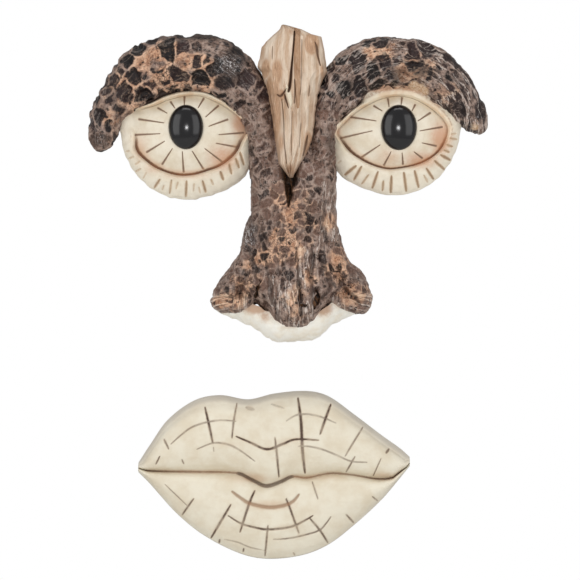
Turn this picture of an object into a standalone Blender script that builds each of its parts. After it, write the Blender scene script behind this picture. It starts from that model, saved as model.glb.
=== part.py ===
"""Tree face: a cast resin set of two pieces that hang on a trunk, the eyes and nose above and the mouth below.

Metres, +Z up. The face looks towards -Y and both castings have flat backs on the plane y = 0, where the bark
of the trunk would be. The origin is on the back of the upper casting, at the height of the pupils.
The carving is a free form: its places are in millimetres of the nominal size, and scale with it.
"""

import math

import bmesh
import bpy
from mathutils import Matrix, Vector

# Driving sizes of the upper casting, the eyes and nose
UPPER_WIDTH = 0.200
UPPER_DEPTH = 0.040
UNIT = UPPER_WIDTH / 200
DEPTH_UNIT = UPPER_DEPTH / 40

# Driving sizes of the mouth casting and its place below the eyes
MOUTH_WIDTH = 0.136
MOUTH_DEPTH = 0.022
MOUTH_DROP = 0.1725
MOUTH_SHIFT = -0.0075
MOUTH_UNIT = MOUTH_WIDTH / 136

# Blind round holes in the backs, for the head of a nail or screw
HANGING_HOLE_RADIUS = 0.004
HANGING_HOLE_DEPTH = 0.010
UPPER_HOLE_HEIGHT = 0.020
MOUTH_HOLE_RISE = 0.012
HOLE_SIDES = 20

# Every carved body reaches this far behind the back plane, where one cut trims them all flat
BACK_MARGIN = 0.003
BEHIND = -BACK_MARGIN / DEPTH_UNIT
CUT_SIZE = 1.0

BARK_COLOUR = (0.16, 0.11, 0.085, 1.0)
CREAM_COLOUR = (0.80, 0.72, 0.57, 1.0)
SHARP_ANGLE = math.radians(35)

# Brow stations in millimetres: across, up, half width, depth of the crest.
# Each brow starts at its outer tip, arches over the eye and runs down beside the split wood into the nose.
LEFT_BROW = [
    (-95.3, -15.2, 1.5, 7.0),
    (-94.4, -11.0, 5.6, 12.0),
    (-92.6, -3.0, 7.8, 16.0),
    (-90.0, 6.0, 8.4, 19.0),
    (-82.0, 16.5, 10.6, 22.0),
    (-69.8, 26.3, 13.1, 24.5),
    (-53.0, 28.9, 13.7, 26.0),
    (-37.5, 27.3, 13.6, 26.0),
    (-26.0, 19.5, 12.0, 25.0),
    (-17.8, 8.5, 9.2, 24.0),
    (-14.3, -6.0, 7.2, 23.0),
    (-12.8, -18.0, 7.2, 23.0),
    (-11.5, -33.0, 7.2, 21.5),
    (-10.5, -50.0, 6.2, 15.0),
]
RIGHT_BROW = [
    (97.4, -5.2, 2.4, 9.0),
    (94.4, -0.8, 6.2, 14.5),
    (88.8, 6.0, 8.6, 18.5),
    (80.6, 15.6, 11.3, 22.0),
    (69.5, 25.2, 12.6, 24.5),
    (54.5, 28.0, 12.9, 26.0),
    (40.4, 26.8, 12.9, 26.0),
    (29.0, 20.0, 11.8, 25.0),
    (21.0, 9.5, 9.2, 24.0),
    (17.5, -5.0, 6.4, 23.0),
    (16.5, -18.0, 6.8, 23.0),
    (15.6, -33.0, 7.4, 21.5),
    (14.6, -50.0, 6.4, 15.0),
]
BROW_BELLY = 0.38
BROW_STEPS = 25
BROW_SIDES = 14

# Nose stations in millimetres: up, left edge, right edge, depth of the ridge
NOSE = [
    (2.0, -12.0, 14.0, 16.0),
    (-15.0, -16.0, 19.0, 21.0),
    (-30.0, -18.6, 23.0, 25.0),
    (-46.0, -18.9, 23.4, 29.5),
    (-57.0, -21.0, 23.8, 32.5),
    (-67.0, -24.0, 26.5, 34.5),
    (-77.0, -26.5, 29.0, 37.0),
    (-85.0, -25.0, 27.5, 39.5),
    (-90.0, -18.0, 22.5, 40.0),
    (-94.0, -12.5, 18.5, 38.5),
    (-98.0, -8.6, 14.6, 34.0),
    (-101.5, -4.5, 9.0, 27.0),
    (-103.2, -0.5, 5.0, 21.0),
]
NOSE_STEPS = 22
NOSE_SIDES = 18
NOSE_BELLY = 0.16

# Nostril wings, as brow stations, and the rolled lip along the foot of each
LEFT_WING = [
    (-15.5, -46.0, 3.0, 15.0),
    (-17.0, -57.0, 5.6, 20.0),
    (-19.4, -67.0, 5.4, 24.0),
    (-23.2, -75.5, 5.8, 26.0),
    (-28.0, -82.5, 6.6, 26.5),
    (-30.6, -88.5, 7.2, 25.0),
    (-31.4, -93.5, 5.4, 21.0),
    (-31.6, -96.0, 2.2, 17.0),
]
LEFT_WING_LIP = [
    (-38.2, -89.0, 1.4, 15.0),
    (-34.8, -91.8, 3.6, 21.0),
    (-28.0, -92.4, 3.8, 25.5),
    (-20.5, -90.8, 2.8, 25.0),
    (-16.5, -89.4, 1.2, 21.0),
]
RIGHT_WING = [
    (18.5, -46.0, 3.0, 15.0),
    (20.4, -57.0, 4.4, 20.0),
    (22.6, -67.0, 4.9, 24.0),
    (26.4, -75.0, 5.8, 26.0),
    (31.2, -81.5, 7.0, 26.5),
    (33.8, -88.0, 7.5, 25.0),
    (34.6, -93.5, 6.0, 21.0),
    (34.8, -96.5, 2.2, 17.0),
]
RIGHT_WING_LIP = [
    (18.5, -89.6, 1.2, 22.0),
    (23.5, -89.8, 2.6, 25.0),
    (30.0, -92.0, 3.6, 25.5),
    (36.4, -92.4, 3.8, 21.0),
    (40.6, -87.4, 1.4, 15.0),
]
WING_STEPS = 13
WING_SIDES = 12
LIP_STEPS = 8
LIP_SIDES = 8

# Lumps of the bark: a gentle swell and dip of every rolled ridge
LUMP_HEIGHT = 0.045
LUMP_LENGTHS = (2.6, 3.3)

# Bare wood under the nose in millimetres: across, height of its lower edge
FOOT_EDGE = [
    (-37.0, -94.4),
    (-32.5, -97.2),
    (-24.5, -100.6),
    (-16.5, -104.2),
    (-12.5, -107.2),
    (-8.5, -110.2),
    (-4.0, -111.2),
    (4.0, -110.2),
    (11.5, -110.2),
    (15.5, -108.4),
    (19.5, -104.2),
    (23.5, -100.8),
    (31.5, -97.6),
    (38.0, -94.8),
]
FOOT_KNEE_RISE = 9.0
FOOT_TUCK = 13.0
FOOT_LIP_DEPTH = 4.5
FOOT_SIDE_DEPTH = 13.0
FOOT_MIDDLE_DEPTH = 25.0

# Split wood between the brows. Each level, in millimetres: height, then seven places across, from edge to edge,
# with the two sides of the long split third and fourth.
WOOD_LEVELS = [
    (47.6, (-4.4, -3.4, -2.2, -1.4, -0.2, 1.6, 3.0)),
    (45.4, (-6.0, -4.6, -1.4, 0.0, 3.0, 6.4, 9.6)),
    (41.6, (-10.0, -6.6, -1.2, 0.2, 4.2, 10.4, 16.4)),
    (35.5, (-14.8, -8.6, -1.4, 0.0, 4.6, 12.4, 17.9)),
    (28.0, (-16.4, -8.8, -1.6, -0.4, 4.8, 13.2, 18.6)),
    (23.0, (-14.8, -8.4, -2.0, -0.8, 4.8, 13.6, 19.0)),
    (12.0, (-10.6, -6.0, -2.4, -1.0, 3.8, 10.2, 13.4)),
    (0.0, (-8.2, -4.2, -2.2, -0.8, 3.2, 9.6, 12.8)),
    (-12.0, (-6.6, -3.2, -1.8, -0.6, 2.6, 7.8, 10.8)),
    (-22.0, (-5.0, -2.2, -1.2, 0.0, 2.0, 4.8, 7.0)),
    (-29.0, (-1.6, -0.6, 0.0, 0.8, 1.4, 2.2, 2.8)),
]
WOOD_EDGE_DEPTH = (16, 19, 22, 24, 25, 25.5, 26, 26.5, 27, 27, 26)
WOOD_RELIEF = (-5.0, 1.2, 0.4, -1.8, 1.6, 1.0, -5.0)

# Hollows cut into the upper casting: corners of the mouth of each in millimetres, then depth of its floor
HOLLOWS = {
    "cleft": ([(-4.6, -28.0), (2.6, -29.5), (1.8, -35.0), (-0.4, -43.5), (-2.4, -36.0)], 19.0),
    "left_nostril": ([(-15.2, -80.0), (-13.6, -84.0), (-14.6, -88.0), (-17.6, -88.4), (-17.4, -84.4)], 15.0),
    "right_nostril": ([(13.6, -86.5), (15.0, -89.0), (13.2, -95.0), (11.4, -94.0), (11.4, -89.5)], 22.0),
}
HOLLOW_FRONT = 45.0
HOLLOW_TAPER = 0.35

# Eyes in millimetres. Angles run anticlockwise from the right as the face is looked at.
# Each oval is its centre, half width, reach upwards and reach downwards.
# Each ray carved in the ball is its angle in degrees, then where it starts and ends from pupil to lid.
LEFT_EYE = dict(
    outline=((-51.2, -4.2), 33.4, 35.6, 35.6),
    opening=((-49.5, -7.0), 28.2, 20.6, 20.6),
    pupil=((-51.5, -3.6), 8.6, 11.1, 11.1),
    inner_side=0.0,
    fullness=1.9,
    rays=[
        (12, 0.14, 0.7), (37, 0.19, 0.77), (65, 0.11, 0.58), (97, 0.1, 0.68), (122, 0.14, 0.6),
        (143, 0.2, 0.61), (165, 0.16, 0.9), (186, 0.27, 0.92), (207, 0.23, 0.85), (232, 0.21, 0.79),
        (260, 0.12, 0.85), (287, 0.1, 0.8), (315, 0.29, 0.91), (340, 0.42, 0.91), (356, 0.38, 0.88),
    ],
)
RIGHT_EYE = dict(
    outline=((53.0, -1.2), 33.4, 36.4, 36.4),
    opening=((51.8, -6.0), 27.8, 18.4, 18.9),
    pupil=((54.9, -3.8), 8.9, 11.3, 11.3),
    inner_side=math.pi,
    fullness=1.8,
    rays=[
        (-1, 0.11, 0.82), (23, 0.08, 0.69), (52, 0.07, 0.55), (80, 0.06, 0.78), (108, 0.08, 0.67),
        (132, 0.16, 0.59), (162, 0.15, 0.85), (186, 0.21, 0.92), (221, 0.2, 0.88), (254, 0.16, 0.81),
        (282, 0.17, 0.75), (312, 0.39, 0.78), (336, 0.34, 0.78),
    ],
)
CARVED_LINE = 0.55
CARVED_LINE_DEPTH = 1.0
RAY_DEPTHS = ((0.0, 0.0), (0.15, 0.9), (0.82, 1.0), (1.0, 0.0))
BALL_MIDDLE_DEPTH = 17.4
BALL_EDGE_DEPTH = 12.6
BALL_TUCK = 1.06
BALL_TUCK_DROP = 0.6
PUPIL_SIDES = 20
PUPIL_DOME = ((0.45, 21.1), (0.8, 19.8), (1.0, 17.2), (0.98, 14.0))
PUPIL_DEPTH = 21.5
LID_DEPTH = 15.6
LID_FOOT_DEPTH = 9.5
LID_CREST_WIDTH = 1.6
LID_FLOOR_DEPTH = 8.0
LID_INNER_DROP = 0.7
LID_SLOPE_PLACE = 0.6
LID_SLOPE_SHARE = 0.75
LASHES = 23
LASH_SPAN = (math.radians(172), math.radians(362))
LASH_DEPTH = 1.2
LASH_CREST_SHARE = 0.4
LASH_HALF_PITCH = 0.17
BROW_SIDE_COLUMNS = 10

# Mouth outlines: shares of half the width, then millimetres from the middle of the mouth
MOUTH_TOP = [
    (-1.0, 1.0), (-0.92, 9.4), (-0.79, 22.0), (-0.59, 32.0), (-0.4, 34.7), (-0.19, 32.6), (0.0, 35.5),
    (0.24, 36.8), (0.4, 34.2), (0.6, 24.6), (0.8, 14.3), (0.93, 8.0), (1.0, 3.8),
]
MOUTH_BOTTOM = [
    (-1.0, -4.0), (-0.92, -9.4), (-0.72, -24.4), (-0.52, -35.4), (-0.26, -44.4), (-0.06, -47.3), (0.2, -45.6),
    (0.4, -40.2), (0.6, -29.8), (0.8, -17.2), (0.93, -6.8), (1.0, -1.0),
]
MOUTH_PARTING = [
    (-1.0, -1.6), (-0.92, -3.0), (-0.6, -3.4), (-0.26, -4.2), (-0.16, -7.4), (-0.06, -10.4), (0.04, -8.6),
    (0.13, -5.8), (0.24, -6.4), (0.41, -4.2), (0.58, -5.0), (0.76, -7.0), (0.875, -6.4), (0.95, -3.2),
    (1.0, 1.0),
]
PARTING_KEEP = 0.22
MOUTH_COLUMNS = 40

# The lips' section from the parting line to the shoulder: share of the way, share of the depth
LIP_PROFILE = [
    (0.0, 0.66), (0.04, 0.78), (0.13, 0.91), (0.28, 0.98), (0.5, 1.0), (0.72, 0.945), (0.9, 0.84), (1.0, 0.69),
]
CORNER_DEPTH = 0.6
WALL_FOOT = 0.1
UPPER_WALL_DRAFT = 3.6
LOWER_WALL_DRAFT = 0.8

# Cracks carved in the lips: places along each in millimetres from the middle of the mouth
MOUTH_CRACKS = [
    [(-34.5, 29.0), (-32.4, 20.0), (-30.5, 10.0)],
    [(-18.5, 31.0), (-20.0, 22.5), (-21.0, 13.5)],
    [(-51.5, 10.5), (-46.5, 15.0), (-41.0, 19.0), (-33.5, 21.5), (-26.5, 22.5), (-19.0, 22.0)],
    [(-38.5, 8.0), (-31.0, 11.0), (-25.5, 11.0), (-20.5, 9.5), (-15.5, 6.5), (-9.5, 2.0)],
    [(-55.0, 13.0), (-52.5, 8.0)],
    [(-19.0, 14.5), (-12.0, 11.5), (-3.5, 8.0), (4.0, 10.5), (11.0, 13.0), (22.5, 12.5)],
    [(0.5, 14.0), (1.6, 4.0), (2.5, -5.0)],
    [(12.0, 33.5), (13.5, 22.0), (14.2, 8.0), (15.5, -4.0)],
    [(28.5, 30.5), (26.0, 24.0), (23.0, 15.5)],
    [(6.0, 22.0), (11.0, 25.0), (17.0, 25.5), (24.0, 24.0), (31.0, 21.0)],
    [(12.0, 9.5), (24.0, 8.0), (38.5, 2.0), (46.5, 1.5)],
    [(44.5, 19.0), (35.5, 4.5)],
    [(57.5, 8.0), (49.5, -4.6)],
    [(-21.0, -13.0), (-17.0, -16.5), (-10.0, -20.0), (-2.5, -21.0), (5.0, -20.0), (12.5, -14.5)],
    [(-9.5, -12.5), (-12.5, -19.5), (-17.0, -33.5)],
    [(-21.5, -19.5), (-31.5, -36.0)],
    [(-23.0, -25.0), (-13.0, -30.2), (-2.5, -32.0), (8.0, -30.8), (19.5, -25.0)],
    [(6.0, -16.5), (12.5, -34.0)],
    [(17.5, -26.0), (27.0, -38.0)],
    [(-3.0, -30.0), (-4.5, -45.0)],
    [(-40.0, -16.5), (-46.0, -25.0)],
    [(19.0, -8.5), (22.0, -17.0)],
]
CRACK_WIDTH = 1.3
CRACK_DEPTH = 0.06
CRACK_CLEAR = 0.03
CRACK_END = 0.3


def clear_scene():
    for item in list(bpy.data.objects):
        bpy.data.objects.remove(item, do_unlink=True)


def make_material(name, colour, roughness):
    material = bpy.data.materials.new(name)
    material.use_nodes = True
    shader = material.node_tree.nodes["Principled BSDF"]
    shader.inputs["Base Color"].default_value = colour
    shader.inputs["Roughness"].default_value = roughness
    shader.inputs["Metallic"].default_value = 0.0
    return material


def smooth_curve(points, count):
    """Catmull-Rom points through the stations, evenly spaced in the station number."""
    last = len(points) - 1
    made = []
    for step in range(count + 1):
        place = last * step / count
        index = min(int(place), last - 1)
        t = place - index
        before = points[max(index - 1, 0)]
        start = points[index]
        end = points[index + 1]
        after = points[min(index + 2, last)]
        made.append(tuple(
            0.5 * (2 * s + (e - b) * t + (2 * b - 5 * s + 4 * e - a) * t * t + (3 * s - b - 3 * e + a) * t ** 3)
            for b, s, e, a in zip(before, start, end, after)
        ))
    return made


def value_at(points, place):
    """Height at one place along a smooth curve that is given as (place, height) points."""
    last = len(points) - 1
    index = 0
    while index < last - 1 and place > points[index + 1][0]:
        index += 1
    (x0, z0), (x1, z1) = points[index], points[index + 1]
    span = x1 - x0
    t = (place - x0) / span
    slope = (z1 - z0) / span
    before = points[max(index - 1, 0)]
    after = points[min(index + 2, last)]
    start_slope = (z1 - before[1]) / (x1 - before[0]) if index > 0 else slope
    end_slope = (after[1] - z0) / (after[0] - x0) if index < last - 1 else slope
    return (
        (2 * t ** 3 - 3 * t * t + 1) * z0
        + (t ** 3 - 2 * t * t + t) * span * start_slope
        + (3 * t * t - 2 * t ** 3) * z1
        + (t ** 3 - t * t) * span * end_slope
    )


def mix(first, second, share):
    return tuple(a + (b - a) * share for a, b in zip(first, second))


def carved_point(across, up, forward):
    """A point of the upper casting from its place in millimetres."""
    return (across * UNIT, min(-forward * DEPTH_UNIT, BACK_MARGIN), up * UNIT)


def body_from_rings(name, rings, pole_at_start=False):
    """A closed body skinned over rings of equal length. A pole replaces the first ring by its first point."""
    mesh = bpy.data.meshes.new(name)
    build = bmesh.new()
    grid = []
    for number, ring in enumerate(rings):
        if pole_at_start and number == 0:
            pole = build.verts.new(ring[0])
            grid.append([pole] * len(ring))
        else:
            grid.append([build.verts.new(point) for point in ring])
    for first, second in zip(grid, grid[1:]):
        for side in range(len(first)):
            following = (side + 1) % len(first)
            corners = [first[side], first[following], second[following], second[side]]
            if corners[0] is corners[1]:
                corners = corners[1:]
            build.faces.new(corners)
    if not pole_at_start:
        build.faces.new(grid[0])
    build.faces.new(grid[-1])
    bmesh.ops.recalc_face_normals(build, faces=build.faces)
    return finish_mesh(mesh, build)


def finish_mesh(mesh, build):
    build.to_mesh(mesh)
    build.free()
    mesh.shade_smooth()
    mesh.set_sharp_from_angle(angle=SHARP_ANGLE)
    return mesh


def make_object(name, mesh):
    made = bpy.data.objects.new(name, mesh)
    bpy.context.scene.collection.objects.link(made)
    return made


def make_helper(mesh):
    """A body that only takes part in a Boolean, named after its mesh."""
    helper = make_object(mesh.name, mesh)
    helper.hide_render = True
    helper.display_type = "WIRE"
    return helper


def combine(target, mesh, operation):
    helper = make_helper(mesh)
    modifier = target.modifiers.new(helper.name, "BOOLEAN")
    modifier.operation = operation
    modifier.solver = "EXACT"
    modifier.object = helper
    return helper


def lump(across, up):
    """Swell or dip of the bark at a place, from -1 to 1."""
    first, second = LUMP_LENGTHS
    return math.sin(across / first + 1.4 * math.sin(up / second)) * math.sin(up / first + across / second)


def swept_body(name, stations, steps, sides, belly):
    """A rolled ridge along its stations. Belly is how far forward it is widest, as a share of its depth."""
    path = smooth_curve(stations, steps)
    rings = []
    for number, (across, up, half_width, depth) in enumerate(path):
        back = path[max(number - 1, 0)]
        ahead = path[min(number + 1, steps)]
        along = Vector((ahead[0] - back[0], ahead[1] - back[1])).normalized()
        aside = Vector((-along.y, along.x))
        middle = belly * depth
        ring = []
        for side in range(sides):
            turn = math.tau * side / sides
            swell = 1 + LUMP_HEIGHT * lump(
                across + aside.x * half_width * math.cos(turn),
                up + aside.y * half_width * math.cos(turn),
            )
            offset = half_width * math.cos(turn) * swell
            forward = middle + (depth - middle) * math.sin(turn) * swell
            ring.append(carved_point(across + aside.x * offset, up + aside.y * offset, forward))
        rings.append(ring)
    return body_from_rings(name, rings)


def nose_body():
    """The nose as a stack of half round slices from the bridge to the tip."""
    rings = []
    for up, left, right, depth in smooth_curve(NOSE, NOSE_STEPS):
        middle = NOSE_BELLY * depth
        ring = []
        for side in range(NOSE_SIDES):
            turn = math.tau * side / NOSE_SIDES
            across = (left + right) / 2 + (right - left) / 2 * math.cos(turn)
            swell = 1 + LUMP_HEIGHT * lump(across, up)
            ring.append(carved_point(across, up, middle + (depth - middle) * math.sin(turn) * swell))
        rings.append(ring)
    return body_from_rings("nose", rings)


def foot_body():
    """Bare wood under the nose: it tucks up under the bark, and falls back and down to the trunk."""
    half_span = (FOOT_EDGE[-1][0] - FOOT_EDGE[0][0]) / 2
    centre = (FOOT_EDGE[-1][0] + FOOT_EDGE[0][0]) / 2
    rings = []
    for across, low in FOOT_EDGE:
        swell = max(0.0, 1 - ((across - centre) / half_span) ** 2)
        knee_depth = FOOT_SIDE_DEPTH + (FOOT_MIDDLE_DEPTH - FOOT_SIDE_DEPTH) * swell
        knee = low + FOOT_KNEE_RISE * (1 + swell) / 2
        top = knee + FOOT_TUCK * (1 + 3 * swell) / 4
        profile = [
            (top, BEHIND),
            (top, knee_depth),
            (knee, knee_depth),
            ((knee + 2 * low) / 3, (knee_depth + FOOT_LIP_DEPTH) / 2),
            (low, FOOT_LIP_DEPTH),
            (low, BEHIND),
        ]
        rings.append([carved_point(across, up, forward) for up, forward in profile])
    return body_from_rings("bare_foot", rings)


def wood_body():
    """The split wood between the brows: long facets with a split down the middle."""
    rings = []
    for (up, places), depth in zip(WOOD_LEVELS, WOOD_EDGE_DEPTH):
        ring = [carved_point(across, up, depth + relief) for across, relief in zip(places, WOOD_RELIEF)]
        ring += [carved_point(places[-1], up, BEHIND), carved_point(places[0], up, BEHIND)]
        rings.append(ring)
    return body_from_rings("split_wood", rings)


def hollow_body(name, corners, floor):
    """A hollow that narrows from its mouth to its floor."""
    middle = tuple(sum(values) / len(corners) for values in zip(*corners))
    mouth = [carved_point(*corner, HOLLOW_FRONT) for corner in corners]
    waist = [carved_point(*corner, floor + (HOLLOW_FRONT - floor) / 2) for corner in corners]
    bottom = [carved_point(*mix(middle, corner, HOLLOW_TAPER), floor) for corner in corners]
    return body_from_rings(name, [mouth, waist, bottom])


def oval_point(centre, half_width, above, below, angle, sharpness=2.0):
    """A point of a closed oval; a sharpness under 2 draws its sides out, and one over 2 fills its corners."""
    height = above if math.sin(angle) > 0 else below
    reach = (
        abs(math.cos(angle) / half_width) ** sharpness + abs(math.sin(angle) / height) ** sharpness
    ) ** (-1 / sharpness)
    return centre[0] + reach * math.cos(angle), centre[1] + reach * math.sin(angle)


def opening_point(eye, angle):
    """Edge of the lids, pointed towards the nose."""
    facing_nose = max(0.0, math.cos(angle - eye["inner_side"]))
    return oval_point(*eye["opening"], angle, 1.95 - 0.3 * facing_nose)


def outline_point(eye, angle):
    """Outside of the eye, fuller towards the nose."""
    facing_nose = max(0.0, math.cos(angle - eye["inner_side"]))
    return oval_point(*eye["outline"], angle, 2 + eye["fullness"] * facing_nose ** 3)


def ball_columns(eye):
    """Angle, start, end and depth share of each column: every ray has two edges and a middle, with one between."""
    half_line = CARVED_LINE / (eye["opening"][1] / 2)
    rays = eye["rays"]
    columns = []
    for number, (degrees, start, end) in enumerate(rays):
        angle = math.radians(degrees)
        following = math.radians(rays[(number + 1) % len(rays)][0]) % math.tau
        between = angle + ((following - angle) % math.tau) / 2
        columns += [
            (angle - half_line, start, end, 0.0),
            (angle, start, end, 1.0),
            (angle + half_line, start, end, 0.0),
            (between, start, end, 0.0),
        ]
    return columns


def ball_body(name, eye):
    """The domed ball of the eye with its carved rays, tucked in under the lids."""
    middle = eye["pupil"][0]
    rings = [[] for _ in range(len(RAY_DEPTHS) + 3)]
    for angle, start, end, cut in ball_columns(eye):
        near = oval_point(*eye["pupil"], angle)
        far = opening_point(eye, angle)
        places = [(middle, BALL_MIDDLE_DEPTH)]
        for along, depth in RAY_DEPTHS:
            share = start + (end - start) * along
            surface = BALL_MIDDLE_DEPTH - (BALL_MIDDLE_DEPTH - BALL_EDGE_DEPTH) * share ** 2
            places.append((mix(near, far, share), surface - CARVED_LINE_DEPTH * depth * cut))
        rim = mix(middle, far, BALL_TUCK)
        places += [(rim, BALL_EDGE_DEPTH - BALL_TUCK_DROP), (rim, BEHIND)]
        for ring, (place, forward) in zip(rings, places):
            ring.append(carved_point(*place, forward))
    return body_from_rings(name, rings, pole_at_start=True)


def pupil_body(name, eye):
    """The raised pupil, a low dome with steep sides."""
    middle = eye["pupil"][0]
    rings = [[carved_point(*middle, PUPIL_DEPTH)] * PUPIL_SIDES]
    for share, forward in PUPIL_DOME:
        edge = [oval_point(*eye["pupil"], math.tau * side / PUPIL_SIDES) for side in range(PUPIL_SIDES)]
        rings.append([carved_point(*mix(middle, place, share), forward) for place in edge])
    return body_from_rings(name, rings, pole_at_start=True)


def lid_columns():
    """Angle and lash depth of each column: fluted round the lower lid and plain under the brow."""
    start, end = LASH_SPAN
    pitch = (end - start) / LASHES
    columns = []
    for lash in range(LASHES):
        middle = start + pitch * (lash + 0.5)
        edge = pitch * LASH_HALF_PITCH
        columns += [(middle - edge, 0.0), (middle, 1.0), (middle + edge, 0.0)]
    rest = math.tau - (end - start)
    columns += [(end + rest * (step + 0.5) / BROW_SIDE_COLUMNS, 0.0) for step in range(BROW_SIDE_COLUMNS)]
    return columns


def lid_body(name, eye):
    """The lids as a disc with a raised rim that the ball stands in, fluted by lashes below."""
    rings = [[] for _ in range(7)]
    for angle, cut in lid_columns():
        inner = opening_point(eye, angle)
        outer = outline_point(eye, angle)
        crest = mix(inner, outer, LID_CREST_WIDTH / math.dist(inner, outer))
        slope_depth = LID_FOOT_DEPTH + LID_SLOPE_SHARE * (LID_DEPTH - LID_FOOT_DEPTH)
        places = [
            (eye["opening"][0], LID_FLOOR_DEPTH),
            (inner, LID_FLOOR_DEPTH),
            (inner, LID_DEPTH - LID_INNER_DROP),
            (crest, LID_DEPTH - LASH_DEPTH * LASH_CREST_SHARE * cut),
            (mix(crest, outer, LID_SLOPE_PLACE), slope_depth - LASH_DEPTH * cut),
            (outer, LID_FOOT_DEPTH - LASH_DEPTH * cut),
            (outer, BEHIND),
        ]
        for ring, (place, forward) in zip(rings, places):
            ring.append(carved_point(*place, forward))
    return body_from_rings(name, rings, pole_at_start=True)


def mouth_edges(share):
    """Heights of the lower edge, the parting line and the upper edge at one place across, in millimetres."""
    low = value_at(MOUTH_BOTTOM, share)
    high = value_at(MOUTH_TOP, share)
    parting = max(value_at(MOUTH_PARTING, share), low + PARTING_KEEP * (high - low))
    return low, parting, high


def lip_depth(share, row):
    """Share of the mouth's depth at one place across and one row, from the parting line to the shoulder."""
    pinch = max(0.0, 1 - abs(share) ** 3) ** 0.5
    return value_at(LIP_PROFILE, row) * (CORNER_DEPTH + (1 - CORNER_DEPTH) * pinch)


def lip_shoulder(share, upper):
    """Where the front of a lip turns into its wall, in millimetres."""
    low, parting, high = mouth_edges(share)
    if upper:
        return high - min(UPPER_WALL_DRAFT, (high - parting) / 2)
    return low + min(LOWER_WALL_DRAFT, (parting - low) / 2)


def mouth_place(share, up, forward):
    """A point of the mouth, from the shares across and forward and the millimetres up."""
    return (
        MOUTH_SHIFT + share * MOUTH_WIDTH / 2,
        -forward * MOUTH_DEPTH,
        up * MOUTH_UNIT - MOUTH_DROP,
    )


def mouth_body():
    """The lips as one slab: columns from corner to corner, each from the lower wall over both lips to the upper."""
    behind = -BACK_MARGIN / MOUTH_DEPTH
    rows = [row for row, _ in LIP_PROFILE]
    rings = []
    for column in range(MOUTH_COLUMNS + 1):
        share = math.sin(math.pi * (column / MOUTH_COLUMNS - 0.5))
        low, parting, high = mouth_edges(share)
        lower = lip_shoulder(share, False)
        upper = lip_shoulder(share, True)
        ring = [(low, behind), (low, WALL_FOOT)]
        ring += [(parting + (lower - parting) * row, lip_depth(share, row)) for row in reversed(rows[1:])]
        ring += [(parting + (upper - parting) * row, lip_depth(share, row)) for row in rows]
        ring += [(high, WALL_FOOT), (high, behind)]
        rings.append([mouth_place(share, up, forward) for up, forward in ring])
    return body_from_rings("mouth", rings)


def crack_surface(across, up):
    """Share of the mouth's depth at a place on the lips given in millimetres."""
    share = across * MOUTH_UNIT * 2 / MOUTH_WIDTH
    parting = mouth_edges(share)[1]
    shoulder = lip_shoulder(share, up > parting)
    return lip_depth(share, min((up - parting) / (shoulder - parting), 1.0))


def crack_body(name, places):
    """A thin wedge that follows one crack over the lips, tapering at both ends."""
    steps = max(4, 2 * (len(places) - 1))
    path = [Vector(place) for place in smooth_curve(places, steps)]
    rings = []
    for number, centre in enumerate(path):
        along = (path[min(number + 1, steps)] - path[max(number - 1, 0)]).normalized()
        size = CRACK_END + (1 - CRACK_END) * math.sin(math.pi * number / steps) ** 0.5
        aside = Vector((-along.y, along.x)) * CRACK_WIDTH / 2 * size
        surface = crack_surface(centre.x, centre.y)
        rings.append([
            mouth_place(place.x * MOUTH_UNIT * 2 / MOUTH_WIDTH, place.y, surface + forward)
            for place, forward in (
                (centre + aside, CRACK_CLEAR),
                (centre - aside, CRACK_CLEAR),
                (centre, -CRACK_DEPTH * size),
            )
        ])
    return body_from_rings(name, rings)


def block_mesh():
    """All that lies behind the trunk's plane."""
    build = bmesh.new()
    bmesh.ops.create_cube(build, size=CUT_SIZE)
    bmesh.ops.translate(build, verts=build.verts, vec=(0, CUT_SIZE / 2, 0))
    return finish_mesh(bpy.data.meshes.new("behind_back"), build)


def pin_mesh(name, across, up):
    """The body of one blind hanging hole, lying along Y."""
    build = bmesh.new()
    bmesh.ops.create_cone(
        build, cap_ends=True, segments=HOLE_SIDES, radius1=HANGING_HOLE_RADIUS,
        radius2=HANGING_HOLE_RADIUS, depth=2 * HANGING_HOLE_DEPTH,
    )
    bmesh.ops.rotate(build, verts=build.verts, matrix=Matrix.Rotation(math.pi / 2, 3, "X"))
    bmesh.ops.translate(build, verts=build.verts, vec=(across, 0, up))
    return finish_mesh(bpy.data.meshes.new(name), build)


def cut_back(casting, name, across, up):
    """Trims the back flat and leaves one hanging hole in it."""
    cutter = combine(casting, block_mesh(), "DIFFERENCE")
    combine(cutter, pin_mesh(name, across, up), "UNION")


def build_upper():
    """The eyes and nose as one casting."""
    casting = make_object(
        "eyes_and_nose", swept_body("left_brow", LEFT_BROW, BROW_STEPS, BROW_SIDES, BROW_BELLY)
    )
    casting.data.materials.append(make_material("bark_paint", BARK_COLOUR, 0.75))
    bodies = [
        swept_body("right_brow", RIGHT_BROW, BROW_STEPS, BROW_SIDES, BROW_BELLY),
        nose_body(),
        swept_body("left_wing", LEFT_WING, WING_STEPS, WING_SIDES, NOSE_BELLY),
        swept_body("right_wing", RIGHT_WING, WING_STEPS, WING_SIDES, NOSE_BELLY),
        swept_body("left_wing_lip", LEFT_WING_LIP, LIP_STEPS, LIP_SIDES, 0.5),
        swept_body("right_wing_lip", RIGHT_WING_LIP, LIP_STEPS, LIP_SIDES, 0.5),
        foot_body(),
        wood_body(),
    ]
    for side, eye in (("left", LEFT_EYE), ("right", RIGHT_EYE)):
        bodies += [
            lid_body(side + "_lid", eye),
            ball_body(side + "_ball", eye),
            pupil_body(side + "_pupil", eye),
        ]
    for mesh in bodies:
        combine(casting, mesh, "UNION")
    for name, (corners, floor) in HOLLOWS.items():
        combine(casting, hollow_body(name, corners, floor), "DIFFERENCE")
    cut_back(casting, "upper_hole", 0.0, UPPER_HOLE_HEIGHT)


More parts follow.
